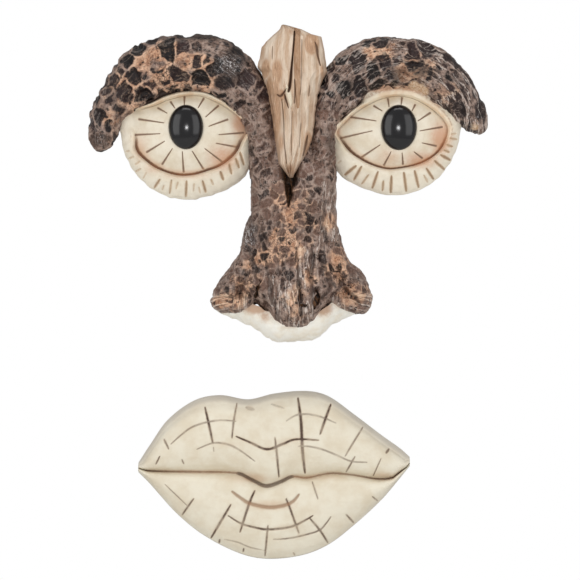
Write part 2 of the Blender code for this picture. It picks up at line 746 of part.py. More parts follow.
def build_mouth():
    """The mouth as the second casting."""
    casting = make_object("mouth", mouth_body())
    casting.data.materials.append(make_material("cream_paint", CREAM_COLOUR, 0.6))
    for number, places in enumerate(MOUTH_CRACKS):
        combine(casting, crack_body(f"crack_{number}", places), "DIFFERENCE")
    cut_back(casting, "mouth_hole", MOUTH_SHIFT, MOUTH_HOLE_RISE - MOUTH_DROP)


clear_scene()
build_upper()
build_mouth()
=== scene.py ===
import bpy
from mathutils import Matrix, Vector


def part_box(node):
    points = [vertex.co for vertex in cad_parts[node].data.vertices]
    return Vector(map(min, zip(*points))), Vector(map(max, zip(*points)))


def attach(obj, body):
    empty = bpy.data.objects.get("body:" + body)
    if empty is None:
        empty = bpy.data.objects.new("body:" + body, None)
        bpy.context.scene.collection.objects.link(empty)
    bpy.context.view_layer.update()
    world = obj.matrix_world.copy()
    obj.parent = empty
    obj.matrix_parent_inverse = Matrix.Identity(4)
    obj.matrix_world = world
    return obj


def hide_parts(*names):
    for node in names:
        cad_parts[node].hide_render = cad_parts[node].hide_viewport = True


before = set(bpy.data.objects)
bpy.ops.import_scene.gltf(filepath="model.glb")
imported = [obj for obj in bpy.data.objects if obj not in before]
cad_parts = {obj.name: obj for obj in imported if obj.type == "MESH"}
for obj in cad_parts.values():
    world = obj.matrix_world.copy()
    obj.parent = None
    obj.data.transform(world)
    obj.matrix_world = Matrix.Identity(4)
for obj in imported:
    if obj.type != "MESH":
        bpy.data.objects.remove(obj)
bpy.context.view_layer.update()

# Looks of the tree face: two hand painted castings, the eyes and nose above and the mouth below.
# Places are in millimetres as the face is looked at: across to the right, up, and forward from the flat back.
# Angles round an eye run anticlockwise from the right. Colours are as they are seen, from 0 to 255.

from types import SimpleNamespace

import bmesh
import bpy
import numpy as np
from mathutils import Vector

hiddenBack = 0.3    # the backs of the eyes, the wood and the foot lie this far in front of the bark's own
print("frame loaded:", sorted(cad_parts))


# numbers, worked out over whole arrays

def mixed(first, second, share):    # a straight step from first to second
    return first + (second - first) * share


def eased(low, high, value):    # 0 at low, 1 at high, an S between
    share = np.clip((value - low) / (high - low), 0, 1)
    return share * share * (3 - 2 * share)


def hashed(cell, seed):    # whole numbers multiplied, added and folded into an even spread from 0 to 1
    x, y, z = (cell[..., side].astype(np.int64) for side in range(3))
    stirred = (x * 374761393 + y * 668265263 + z * 974634777 + seed * 144665177) & 0xffffffff
    stirred = ((stirred ^ (stirred >> 13)) * 1274126177) & 0xffffffff
    return ((stirred ^ (stirred >> 16)) & 0xffffff) / 0xffffff


def softNoise(places, size, seed):    # hashed corners of a grid of this size, eased between, from -1 to 1
    scaled = places / size
    base = np.floor(scaled)
    share = eased(0, 1, scaled - base)
    total = 0
    for corner in np.ndindex(2, 2, 2):
        weight = np.prod(np.where(corner, share, 1 - share), axis=-1)
        total = total + weight * hashed(base + corner, seed)
    return total * 2 - 1


def softLine(values, size, seed):    # the same noise along a single direction
    return softNoise(np.stack([values, 0 * values, 0 * values], -1), size, seed)


def cellField(places, size, seed):
    # one scattered point in each grid cell: distances to the nearest and the next, and the nearest's own number
    scaled = places / size
    base = np.floor(scaled)
    nearest = np.full(len(places), 9.0)
    second = nearest.copy()
    tag = np.zeros(len(places))
    for corner in np.ndindex(3, 3, 3):
        cell = base + corner - 1
        spot = cell + np.stack([hashed(cell, seed + side) for side in range(3)], axis=-1)
        gap = np.linalg.norm(spot - scaled, axis=-1)
        closer = gap < nearest
        second = np.where(closer, nearest, np.minimum(second, gap))
        tag = np.where(closer, hashed(cell, seed + 3), tag)
        nearest = np.where(closer, gap, nearest)
    return nearest, second, tag


def smoothPath(stations, count):    # a Catmull-Rom cubic through the stations, even in the station number
    stations = np.array(stations, float)
    place = np.linspace(0, len(stations) - 1, count)
    index = np.minimum(place.astype(int), len(stations) - 2)
    t = (place - index)[:, None]
    a, b, c, d = (stations[np.clip(index + step, 0, len(stations) - 1)] for step in (-1, 0, 1, 2))
    return 0.5 * (2 * b + (c - a) * t + (2 * a - 5 * b + 4 * c - d) * t ** 2 + (3 * b - a - 3 * c + d) * t ** 3)


def heightAt(points, across):    # Hermite cubics through (across, height) points, sloped as neighbours lie
    x, z = np.array(points, float).T
    slope = np.gradient(z, x)
    slope[1:-1] = (z[2:] - z[:-2]) / (x[2:] - x[:-2])
    index = np.clip(np.searchsorted(x, across, side="right") - 1, 0, len(x) - 2)
    span = x[index + 1] - x[index]
    t = (across - x[index]) / span
    return (
        (2 * t ** 3 - 3 * t ** 2 + 1) * z[index] + (t ** 3 - 2 * t ** 2 + t) * span * slope[index]
        + (3 * t ** 2 - 2 * t ** 3) * z[index + 1] + (t ** 3 - t ** 2) * span * slope[index + 1]
    )


def strokeField(across, up, strokes):
    # strokes are (places, half width, tone): 1 on a stroke's line, a half at its edge, 0 a half width outside,
    # and the tone of the stroke that reaches furthest; a place's third number is its share of the half width,
    # and a stroke without them thins to both ends
    reach = np.zeros_like(across)
    tone = np.zeros_like(across)
    for places, halfWidth, strokeTone in strokes:
        path = smoothPath(places, 5 * (len(places) - 1) + 1)
        start, step = path[:-1, :2], np.diff(path[:, :2], axis=0)
        offset = np.stack([across[..., None] - start[:, 0], up[..., None] - start[:, 1]], axis=-1)
        share = np.clip((offset * step).sum(-1) / (step ** 2).sum(-1), 0, 1)
        gap = np.linalg.norm(offset - share[..., None] * step, axis=-1)
        best = gap.argmin(-1)
        along = best + np.take_along_axis(share, best[..., None], -1)[..., 0]
        if path.shape[1] == 3:
            width = halfWidth * np.interp(along, np.arange(len(path)), path[:, 2]).clip(0.02)
        else:
            width = halfWidth * (0.45 + 0.55 * np.sin(np.pi * np.clip(along / len(step), 0, 1)) ** 0.5)
        value = np.clip(1 - gap.min(-1) / (2 * width), 0, 1)
        tone = np.where(value > reach, strokeTone, tone)
        reach = np.maximum(value, reach)
    return reach, tone


def blot(across, up, blots):    # the strongest soft oval: strength times e to minus the squared distance
    return np.max([
        strength * np.exp(-((across - x) / wide) ** 2 - ((up - z) / high) ** 2)
        for x, z, wide, high, strength in blots
    ], axis=0)


def blindHole(across, up, hole):    # its depth inside a circle and 0 outside
    x, z, radius, depth = hole
    return depth * (1 - eased(radius - 0.15, radius + 0.15, np.hypot(across - x, up - z)))


# meshes

def inMetres(places):    # across, up and forward in millimetres to x, y and z in metres
    return np.stack([places[:, 0], -places[:, 2], places[:, 1]], -1) / 1000


def vectorsOf(items, key):    # a mesh's places or normals as across, up and forward, in the mesh's own unit
    flat = np.empty(len(items) * 3, np.float32)
    items.foreach_get(key, flat)
    x, y, z = flat.reshape(-1, 3).astype(float).T
    return np.stack([x, z, -y], -1)


def placesOf(mesh):    # in millimetres
    return vectorsOf(mesh.vertices, "co") * 1000


def closedMesh(name, rings):
    # rings is (ring, around, 3): quads from each ring to the next and one face over each end,
    # turned over if they would point inwards
    count, around = rings.shape[:2]
    grid = np.arange(count * around).reshape(count, around)
    following = np.roll(grid, -1, axis=1)
    quads = np.stack([grid[:-1], grid[1:], following[1:], following[:-1]], axis=-1).reshape(-1, 4)
    mesh = bpy.data.meshes.new(name)
    ends = [grid[0].tolist(), grid[-1, ::-1].tolist()]
    mesh.from_pydata(inMetres(rings.reshape(-1, 3)), [], quads.tolist() + ends)
    mesh.calc_loop_triangles()
    corners = np.empty(len(mesh.loop_triangles) * 3, np.int32)
    mesh.loop_triangles.foreach_get("vertices", corners)
    points = placesOf(mesh)[corners].reshape(-1, 3, 3)
    if np.linalg.det(points - points.mean((0, 1))).sum() < 0:
        mesh.flip_normals()
    return mesh


def addObject(name, data):
    made = bpy.data.objects.new(name, data)
    bpy.context.scene.collection.objects.link(made)
    return made


def finishPiece(name, mesh, places, material, slot, node, **values):
    # the places are held inside the solid's own box; values are numbers for each vertex, for the shader
    low, high = (np.array(corner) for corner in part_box(node))
    mesh.vertices.foreach_set("co", np.clip(inMetres(places), low, high).astype(np.float32).ravel())
    mesh.update()
    for key, value in values.items():
        made = mesh.attributes.new(key, "FLOAT", "POINT")
        made.data.foreach_set("value", np.asarray(value, np.float32).ravel())
    mesh.shade_smooth()
    mesh.materials.clear()
    mesh.materials.append(material)
    piece = addObject(name, mesh)
    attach(piece, "root")
    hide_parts(node)
    print(name, len(mesh.polygons), "faces")


# shader maths

class Wire:    # one socket of a material's tree, and sums on it add Math nodes
    def __init__(self, tree, socket=None):
        self.tree = tree
        self.socket = socket

    def node(self, kind, settings=(), inputs=(), output=0):
        made = self.tree.nodes.new("ShaderNode" + kind)
        for key, value in dict(settings).items():
            setattr(made, key, value)
        for key, value in dict(inputs).items():
            if isinstance(value, Wire):
                self.tree.links.new(value.socket, made.inputs[key])
            else:
                made.inputs[key].default_value = value
        return Wire(self.tree, made.outputs[output])

    def math(self, operation, *values):
        return self.node("Math", {"operation": operation}, enumerate(values))

    def __add__(self, other):
        return self.math("ADD", self, other)

    def __sub__(self, other):
        return self.math("SUBTRACT", self, other)

    def __rsub__(self, other):
        return self.math("SUBTRACT", other, self)

    def __mul__(self, other):
        return self.math("MULTIPLY", self, other)

    def ramp(self, low, high):    # 0 below low and 1 above high, eased between
        return self.node("MapRange", {"interpolation_type": "SMOOTHSTEP"}, {0: self, 1: low, 2: high})

    def fall(self, low, high):    # 1 below low and 0 above high
        return 1 - self.ramp(low, high)

    def threads(self, low, high):    # thin wandering lines where a noise passes its middle
        return self.math("ABSOLUTE", self - 0.5).fall(low, high)

    def blend(self, first, second):    # this number is the second colour's share
        return self.node("Mix", {"data_type": "RGBA"}, {0: self, 6: first, 7: second}, output=2)

    def values(self, *names):    # the piece's own numbers
        return [self.node("Attribute", {"attribute_name": name}, output="Fac") for name in names]

    def place(self):    # the piece's own coordinates, in metres
        return self.node("TexCoord", output="Object")

    def noise(self, place, scale, detail, rough=0.5, output="Fac"):    # about 0.5 in the middle
        inputs = {"Vector": place, "Scale": scale, "Detail": detail, "Roughness": rough}
        return self.node("TexNoise", {}, inputs, output)

    def mottle(self, scale, detail=4.0, rough=0.6, stretch=(1, 1, 1)):    # scale is in turns for each metre
        place = self.node("Mapping", {}, {"Vector": self.place(), "Scale": stretch})
        return self.noise(place, scale, detail, rough)

    def cracks(self, scale):    # distance to the edges of a net of bent cells
        bent = self.noise(self.place(), scale * 0.7, 3.0, output="Color")
        inputs = {0: bent, 1: [1.6 / scale] * 3, 2: self.place()}
        bent = self.node("VectorMath", {"operation": "MULTIPLY_ADD"}, inputs)
        return self.node("TexVoronoi", {"feature": "DISTANCE_TO_EDGE"}, {"Vector": bent, "Scale": scale})


def paint(seen):    # a colour as it is seen, as linear light, or a pair of them
    if isinstance(seen[0], tuple):
        return [paint(one) for one in seen]
    share = np.array(seen) / 255
    return (*np.where(share < 0.04045, share / 12.92, ((share + 0.055) / 1.055) ** 2.4), 1.0)


def newMaterial(name, piece):    # with the piece's colours, read as colour.name
    material = bpy.data.materials.new(name)
    material.use_nodes = True
    shader = material.node_tree.nodes["Principled BSDF"]
    colour = SimpleNamespace(**{key: paint(seen) for key, seen in piece["colours"].items()})
    return material, Wire(material.node_tree), shader, colour


def layered(base, *layers):    # each is (share, colour), laid over what is there
    for share, colour in layers:
        base = share.blend(base, colour)
    return base


def plug(shader, name, wire):
    wire.tree.links.new(wire.socket, shader.inputs[name])


def plugBump(shader, height, distance, strength):    # height is in shares of the distance, which is in metres
    inputs = {"Height": height, "Distance": distance, "Strength": strength}
    plug(shader, "Normal", height.node("Bump", {}, inputs, output="Normal"))


# the bark of the brows and nose

bark = {
    "brows": [    # across, up, half width, depth of the crest
        [(-95.3, -15.2, 1.5, 7), (-94.4, -11, 5.6, 12), (-92.6, -3, 7.8, 16), (-90, 6, 8.4, 19),
         (-81, 15.2, 12.2, 22), (-69.4, 25.4, 14, 24.5), (-53, 28.4, 14.1, 26), (-37.5, 27.1, 13.9, 26),
         (-26, 19.5, 12.4, 25), (-17.6, 8.5, 9.8, 24), (-14.3, -6, 7.2, 23), (-12.8, -18, 7.2, 23),
         (-11.5, -33, 7.2, 21.5), (-10.5, -50, 6.2, 15)],
        [(97.4, -5.2, 2.4, 9), (94.4, -0.8, 6.2, 14.5), (88.8, 6, 8.6, 18.5), (80.6, 15.6, 11.3, 22),
         (69.5, 25.2, 12.6, 24.5), (54.5, 28, 12.9, 26), (40.4, 26.8, 12.9, 26), (29, 20, 11.8, 25),
         (21, 9.5, 9.2, 24), (17.5, -5, 6.4, 23), (16.5, -18, 6.8, 23), (15.6, -33, 7.4, 21.5),
         (14.6, -50, 6.4, 15)],
    ],
    "nose": [    # up, left edge, right edge, depth of the ridge
        (2, -12, 14, 16), (-15, -16, 19, 21), (-30, -18.6, 23, 25), (-46, -18.9, 23.4, 29.5),
        (-57, -21, 23.8, 32.5), (-67, -24, 26.5, 34.5), (-77, -26.5, 29, 37), (-85, -25, 27.5, 39.5),
        (-90, -18, 22.5, 40), (-94, -13, 18.8, 39), (-98, -10.4, 16, 36.5), (-101.5, -8, 13.4, 32.5),
        (-103, -5, 10, 28),
    ],
    "wings": [
        [(-15.5, -46, 3, 15), (-17, -57, 5.6, 20), (-19.4, -67, 5.4, 24), (-23.2, -75.5, 5.8, 26),
         (-28, -82.5, 6.6, 26.5), (-30.6, -88.5, 7.2, 25), (-31.4, -93.5, 5.4, 21), (-31.6, -96, 2.2, 17)],
        [(18.5, -46, 3, 15), (20.4, -57, 4.4, 20), (22.6, -67, 4.9, 24), (26.4, -75, 5.8, 26),
         (31.2, -81.5, 7, 26.5), (33.8, -88, 7.5, 25), (34.6, -93.5, 6, 21), (34.8, -96.5, 2.2, 17)],
    ],
    "browLips": [    # the lower edges of the brows
        [(-84.5, 1, 2, 15), (-82, 5.2, 2.6, 18), (-73, 10.7, 2.8, 20), (-63.5, 15.8, 2.8, 21),
         (-56, 17.4, 2.8, 21), (-47, 17.4, 2.8, 21), (-37, 15.6, 2.8, 21), (-27.5, 8.6, 2.6, 20),
         (-21, 1.5, 2.2, 18)],
        [(18.6, -4, 2, 18), (22, 1, 2.4, 20), (29, 6.8, 2.6, 21), (34.5, 11.5, 2.6, 21), (39, 17.5, 2.4, 21)],
    ],
    "wingLips": [
        [(-38.2, -89, 1.4, 15), (-34.8, -91.8, 3.6, 21), (-28, -92.4, 3.8, 25.5), (-20.5, -90.8, 2.8, 25),
         (-16.5, -89.4, 1.2, 21)],
        [(18.5, -89.6, 1.2, 22), (23.5, -89.8, 2.6, 25), (30, -92, 3.6, 25.5), (36.4, -92.4, 3.8, 21),
         (40.6, -87.4, 1.4, 15)],
    ],
    "sections": {    # share of the depth that is wall, rings, places round each
        "brows": (0.38, 130, 60), "nose": (0.16, 110, 72), "wings": (0.16, 70, 48), "wingLips": (0.66, 60, 32),
        "browLips": (0.66, 60, 32), "webs": (0.16, 30, 32),
    },
    "cutAway": -3,    # the ridges reach this far behind the cut at the back
    "lumpHeight": 0.045,
    "lumpLengths": (2.6, 3.3),
    "voxel": 0.00064,    # in metres
    "browCell": 8.3,
    "noseCell": 4.6,
    "fineCell": 2.3,
    "browFrom": (11, 45),    # the brows begin above this, and across from this
    "drawnFrom": 72,    # the right brow's drawn out end
    "lobesFrom": (-87, 20),    # the wings' edges begin below this, and across from this
    "fibreAreas": [    # low, high, left, right, and how ragged their sides are
        (-999, -80, -10, 12, 0), (-80, -62, 3, 15, 0), (-62, -32, 15, 999, 0.5)],
    "flowAcross": (-52, 55),    # the brows' fibres run round these middles
    "flowUp": -5,
    "flowRadius": 38,
    "crestHeight": 0.45,
    "pitDepth": 1.9,
    "hollows": [    # places along each with shares of the half width, half width, depth
        ([(0.6, -24, 1), (0.4, -29, 0.8), (0, -35.5, 0.45), (0, -43.5, 0.1)], 4.6, 7),
        ([(-14.8, -80, 0.2), (-15.2, -84, 0.8), (-16.4, -88, 0.7)], 1.2, 4),
        ([(13.6, -85, 0.2), (14.4, -88, 0.8), (13.4, -91, 1), (12.2, -94, 0.4)], 1.2, 3.5),
        ([(5.6, -84.5, 0.4), (5.6, -87, 1), (5.4, -89.5, 0.6)], 0.5, 1.5),
        ([(6, -92.6, 1), (8.4, -92.8, 0.8)], 0.8, 2),
    ],
    "grooves": [    # folds down the nose: places along each, half width, strength
        ([(-11.5, -71), (-10.5, -77), (-9, -84), (-6.5, -93), (-4.5, -100)], 1.3, 1),
        ([(3.5, -66), (4.5, -80), (5.5, -92), (5.8, -99)], 1.1, 1),
        ([(11.5, -63), (11, -74), (11.5, -84), (12.5, -93)], 1.2, 0.9),
        ([(-21, -62), (-18.5, -70), (-15.6, -79)], 1.3, 0.9),
        ([(14, -67), (18.5, -76), (20.5, -82), (16.5, -89)], 1.3, 1),
        ([(-13, -52), (-14, -60), (-10, -66)], 1.1, 0.7),
        ([(18, -40), (17, -52), (18.5, -62)], 1.1, 0.8),
        ([(27, -84), (31, -87), (35.5, -92)], 1, 0.8),
        ([(-36, -87.5), (-30, -88.5), (-25, -87)], 0.9, 0.7),
        ([(7, -40), (8, -50), (5.5, -58)], 1, 0.6),
    ],
    "grooveDepth": 1.2,
    "webs": [    # behind the nose and wings, where they would part
        [(-20, -76, 4, 20), (-21.5, -83, 5, 22), (-22, -89, 3.6, 21)],
        [(23, -76, 4, 20), (24.5, -83, 5, 22), (25, -89, 3.6, 21)],
    ],
    # near-black patches: partly the bark's own black paint, partly painted shade along the brows' top rims and
    # beside the nose and wood
    "sootBlots": [    # across, up, reach across, reach up, strength, as in every list of blots and washes
        (-44, 42, 18, 3, 1), (-28, 33, 6, 8, 0.8), (-29, 26, 9, 9, 0.9), (-64, 40.5, 10, 2, 0.5),
        (-88, 12, 6, 12, 0.5), (32, 16, 10, 10, 0.4), (58, 24, 22, 8, 0.5), (84, 18, 12, 10, 0.35),
        (-20, -56, 6, 12, 0.5), (-22, -14, 4, 10, 0.5), (20, -12, 4, 14, 0.4), (-2, -30, 9, 6, 0.4),
    ],
    # where painted highlights lie: white glints on the glossy black bark
    "glintBlots": [
        (-30, 27, 7, 6, 0.7), (-19.5, -59, 4, 8, 0.8), (38, -22, 4, 4, 0.3), (94, -2, 5, 6, 0.5),
        (50, 24, 10, 8, 0.25), (-94, -8, 4, 8, 0.4),
    ],
    "peelBlots": [
        (65, 14.5, 5, 4, 1), (62.5, 17.5, 3, 3, 0.9), (93, -3.5, 4, 2.5, 0.5),
    ],
    "wormBlots": [    # where fine dark cracks wander
        (-61, 22, 7, 8, 1), (-56, 17.5, 8, 3, 0.7), (-80, 12, 7, 8, 0.6), (-3, -62, 10, 12, 0.8),
        (72, 12, 8, 8, 0.6), (-24, -84, 8, 8, 0.7), (28, -80, 8, 10, 0.7), (8, -46, 8, 10, 0.6),
    ],
    "tanBlots": [
        (-60, 33, 12, 6, 1.1), (-74, 28, 8, 8, 0.9), (-46, 28, 13, 6, 1), (-60, 20, 16, 10, 1),
        (-80, 14, 14, 16, 0.8), (-42, 18, 12, 5, 0.75), (-90, 0, 7, 14, 0.55), (46, 33, 12, 6, 0.85),
        (62, 25, 14, 10, 0.75), (78, 12, 12, 14, 0.5), (56, 15, 16, 5, 0.8), (92, 0, 6, 8, 0.45),
        (38, 12, 8, 4, 0.35), (0, -46, 8, 14, 0.95), (-2, -60, 9, 10, 1), (-10.5, -69, 9, 6, 1.1),
        (3, -66, 7, 9, 0.9), (19, -51, 6, 6, 0.9), (24, -73, 7, 11, 0.95), (10, -78, 5, 6, 0.8),
        (-20, -82, 9, 8, 0.8), (8, -50, 11, 13, 0.65), (32, -88, 10, 7, 1), (2, -90, 7, 12, 0.65),
        (-29, -90, 10, 5, 1.1), (-20, -74, 6, 6, 0.6), (-6, -38, 4, 7, 0.8), (8, -38, 6, 8, 0.7),
        (12, -24, 4, 8, 0.4), (-12, -24, 4, 10, 0.3),
    ],
    "colours": {    # pairs are grey bark and tan bark, or dark and light
        "ridgeShade": ((70, 53, 46), (138, 96, 72)), "ridge": ((140, 114, 100), (208, 160, 128)),
        "hole": ((17, 12, 12), (66, 46, 44)), "noseHole": ((32, 22, 20), (126, 98, 85)),
        "crest": ((172, 149, 136), (226, 188, 160)), "brushed": ((176, 154, 142), (216, 176, 146)),
        "thread": ((212, 198, 188), (232, 202, 174)), "net": ((176, 156, 146), (208, 170, 142)),
        "peeled": ((190, 150, 116), (224, 200, 172)), "hollow": ((32, 23, 18), (112, 78, 52)),
        "back": ((104, 92, 84), (122, 108, 98)), "smallPit": (44, 33, 29), "dirt": (42, 32, 29),
        "wormCrack": (34, 24, 22), "streak": (38, 30, 28), "strip": (36, 26, 25), "groove": (46, 34, 30),
        "soot": (28, 23, 23), "glint": (214, 209, 207),
    },
}


def swelling(across, up):    # one plus two crossed sine waves, the slow swell of every rolled ridge
    first, second = bark["lumpLengths"]
    waves = np.sin(across / first + 1.4 * np.sin(up / second)) * np.sin(up / first + across / second)
    return 1 + bark["lumpHeight"] * waves


def rolledRidge(stations, belly, count, around):
    # half ellipses set across the path: half width times cosine aside, and the depth above the belly times sine
    path = smoothPath(stations, count)
    along = np.gradient(path[:, :2], axis=0)
    along /= np.linalg.norm(along, axis=1, keepdims=True)
    aside = np.stack([-along[:, 1], along[:, 0]], -1)[:, None]
    turn = np.linspace(0, 2 * np.pi, around, endpoint=False)[None, :]
    halfWidth, depth = path[:, 2:3], path[:, 3:4]
    middle = belly * depth
    plain = path[:, None, :2] + aside * (halfWidth * np.cos(turn))[..., None]
    swell = swelling(plain[..., 0], plain[..., 1])
    place = path[:, None, :2] + aside * (halfWidth * np.cos(turn) * swell)[..., None]
    forward = np.maximum(middle + (depth - middle) * np.sin(turn) * swell, bark["cutAway"])
    return np.concatenate([place, forward[..., None]], -1)


def noseRings(belly, count, around):    # level half ellipses from the bridge down to the tip
    up, left, right, depth = (column[:, None] for column in smoothPath(bark["nose"], count).T)
    turn = np.linspace(0, 2 * np.pi, around, endpoint=False)[None, :]
    across = (left + right) / 2 + (right - left) / 2 * np.cos(turn)
    middle = belly * depth
    forward = np.maximum(middle + (depth - middle) * np.sin(turn) * swelling(across, up), bark["cutAway"])
    return np.stack([across, up + 0 * turn, forward], -1)


def joinedSkin(name, bodies, voxel):    # the bodies made one skin of small even squares, cut flat at the back
    build = bmesh.new()
    for rings in bodies:
        mesh = closedMesh(name, rings)
        build.from_mesh(mesh)
        bpy.data.meshes.remove(mesh)
    mesh = bpy.data.meshes.new(name)
    build.to_mesh(mesh)
    build.free()
    blank = addObject(name, mesh)
    remesh = blank.modifiers.new("evenSquares", "REMESH")
    remesh.mode = "VOXEL"
    remesh.voxel_size = voxel
    relax = blank.modifiers.new("softenJoins", "SMOOTH")
    relax.factor = 0.5
    relax.iterations = 5
    bpy.context.view_layer.update()
    skin = bpy.data.meshes.new_from_object(blank.evaluated_get(bpy.context.evaluated_depsgraph_get()))
    bpy.data.objects.remove(blank)
    bpy.data.meshes.remove(mesh)
    build = bmesh.new()
    build.from_mesh(skin)
    everything = build.verts[:] + build.edges[:] + build.faces[:]
    cut = bmesh.ops.bisect_plane(
        build, geom=everything, dist=1e-6, plane_co=(0, 0, 0), plane_no=(0, 1, 0), clear_outer=True)
    rim = [item for item in cut["geom_cut"] if isinstance(item, bmesh.types.BMEdge)]
    filled = bmesh.ops.triangle_fill(build, edges=rim, use_beauty=True)["geom"]
    build.normal_update()
    turned = [item for item in filled if isinstance(item, bmesh.types.BMFace) and item.normal.y < 0]
    bmesh.ops.reverse_faces(build, faces=turned)
    build.to_mesh(skin)
    build.free()
    skin.name = name
    return skin


def flowOf(across, up):
    # how the bark's fibres run: round the eye on a brow and straight down the nose; millimetres aside and along
    side = np.where(across > 0, 1, -1)
    (leftAcross, rightAcross), eyeUp = bark["flowAcross"], bark["flowUp"]
    eyeAcross = np.where(across > 0, rightAcross, leftAcross)
    reach = np.hypot(across - eyeAcross, up - eyeUp)
    turn = np.arctan2(side * (across - eyeAcross), up - eyeUp) * bark["flowRadius"]
    onBrow = (up > 4) | (np.abs(across) > 30)
    return np.where(onBrow, reach, across), np.where(onBrow, turn, up)


def barkPattern(places):
    # cells of five kinds: broad on the brows, drawn out at the right brow's end, upright at the nose's tip and
    # right side, level on the wings' rolled edges, and small on the rest of the nose;
    # gives millimetres to the cell's edge, the cell's own number, and how far the bark is drawn into fibres
    across, up, forward = places.T
    bend = np.stack([softNoise(places, 5.0, seed) for seed in (1, 2, 3)], -1)
    bend += 0.6 * np.stack([softNoise(places, 2.2, seed) for seed in (5, 6, 7)], -1)
    bent = places + 1.5 * bend
    ragged = 4 * softNoise(places, 7.0, 4)
    aside, along = flowOf(across, up)
    flat = bent * (1, 1, 0.55)
    drawnOut = np.stack([aside / 3.2, along / 9.0, forward * 0.05], -1) + 0.16 * bend
    upright = np.stack([bent[:, 0] / 2.4, bent[:, 1] / 10.0, forward * 0.06], -1)
    level = np.stack([bent[:, 0] / 8.0, bent[:, 1] / 2.4, forward * 0.06], -1)
    browUp, browAcross = bark["browFrom"]
    lobeUp, lobeAcross = bark["lobesFrom"]
    onBrow = (up + 0.25 * np.abs(across) + ragged > browUp) | (np.abs(across) > browAcross)
    outer = (across + ragged > bark["drawnFrom"]) & onBrow
    lobes = (up + 0.3 * ragged < lobeUp) & (np.abs(across) > lobeAcross)
    fibres = np.zeros(len(places), bool)
    for low, high, left, right, wave in bark["fibreAreas"]:
        inside = (across + wave * ragged > left) & (across + wave * ragged < right)
        fibres |= (up + ragged > low) & (up + ragged < high) & inside
    edge, tags = np.zeros((2, len(places)))
    for here, spots, size, span, seed in (
        (onBrow & ~outer, flat, bark["browCell"], bark["browCell"], 11),
        (outer, drawnOut, 1.0, 3.4, 21),
        (fibres & ~lobes, upright, 1.0, 2.4, 31),
        (lobes, level, 1.0, 2.4, 35),
        (~onBrow & ~fibres & ~lobes, flat, bark["noseCell"], bark["noseCell"], 41),
    ):
        nearest, second, tag = cellField(spots[here], size, seed)
        edge[here] = (second - nearest) / 2 * span
        tags[here] = tag
    drawn = np.where(fibres | lobes, 0.9, np.where(outer, 0.75, np.where(onBrow & (across > 0), 0.45, 0.2)))
    return edge, tags, drawn


def makeBark(material):
    def ridges(kind):
        return [rolledRidge(stations, *bark["sections"][kind]) for stations in bark[kind]]

    bodies = [
        *ridges("brows"), noseRings(*bark["sections"]["nose"]),
        *ridges("wings"), *ridges("wingLips"), *ridges("browLips"), *ridges("webs"),
    ]
    skin = joinedSkin("barkFace", bodies, bark["voxel"])
    places, normals = placesOf(skin), vectorsOf(skin.vertex_normals, "vector")
    across, up, forward = places.T
    edge, tag, drawn = barkPattern(places)
    fine, fineNext, fineTag = cellField(places * (1, 1, 0.6), bark["fineCell"], 51)
    fineEdge = (fineNext - fine) / 2 * bark["fineCell"]
    tan, soot, glint, worm, peel = (
        blot(across, up, bark[kind + "Blots"]) for kind in ("tan", "soot", "glint", "worm", "peel"))
    tan = np.clip(tan + 0.25 * softNoise(places, 3.5, 5), 0, 1)
    soot = np.clip(soot + 0.2 * softNoise(places, 6.0, 9), 0, 1)
    peel = eased(0.3, 0.6, peel + 0.15 * softNoise(places, 2.4, 12))
    # calm beside the wood, slim where only thin ridges part the pits
    calm = eased(-34, -22, up) * (1 - eased(8, 20, up)) * (1 - eased(24, 28, np.abs(across)))
    nose = 1 - np.maximum(eased(6, 16, up + 0.25 * np.abs(across)), eased(40, 48, np.abs(across)))
    slim = np.maximum(nose, eased(66, 74, across))
    deepCell = eased(0.12, 0.26, tag) * (1 - 0.6 * eased(0.78, 0.88, drawn))
    pit = edge + mixed(0.5, 0.35, slim) * softNoise(places, 1.6, 6)
    pit = eased(mixed(0.25, 0.1, slim), mixed(1.1, 0.68, slim), pit) * deepCell * (1 - 0.45 * calm) * (1 - peel)
    sunk = eased(0.2, mixed(2.4, 1.6, nose), edge + 0.4 * softNoise(places, 3.0, 13)) * pit
    smallPit = eased(0.25, 0.6, fineEdge) * (fineTag > 0.62) * (1 - pit)
    hollow, back = np.zeros((2, len(places)))
    for line, halfWidth, depth in bark["hollows"]:
        reach, _ = strokeField(across, up, [(line, halfWidth, 1.0)])
        opened = eased(0.3, 0.85, reach) * (forward > 6)
        hollow = np.maximum(hollow, opened)
        back = np.maximum(back, opened * depth)
    groove, strength = strokeField(across + 0.8 * softNoise(places, 4.0, 14), up, bark["grooves"])
    groove = eased(0.15, 0.9, groove + 0.35 * softNoise(places, 2.6, 15)) * strength * (forward > 6)
    back += bark["grooveDepth"] * groove
    aside, along = flowOf(across, up)
    fibre = softNoise(np.stack([aside / 1.1, along / 6.0, forward / 4.0], -1), 1.0, 7)
    rough = 0.2 * softNoise(places, 1.5, 8) + 0.5 * softNoise(places, 4.2, 10) + 0.35 * drawn * fibre
    rise = (bark["crestHeight"] - bark["pitDepth"] * sunk - 0.5 * smallPit + rough) * eased(0.0, 1.2, forward)
    places = places + normals * rise[:, None]
    places[:, 2] = np.where(forward < 0.02, 0.0, np.maximum(places[:, 2] - back, 0.1))
    finishPiece(
        "barkFace", skin, places, material, "bark_paint", "eyes_and_nose",
        edge=np.clip(edge, 0, 3), tag=tag, pit=pit, smallPit=smallPit, tan=tan, hollow=hollow, drawn=drawn,
        aside=aside, along=along, soot=soot, glint=glint, peel=peel, worm=worm, groove=groove, nose=nose,
        backing=forward < 0.02,
    )


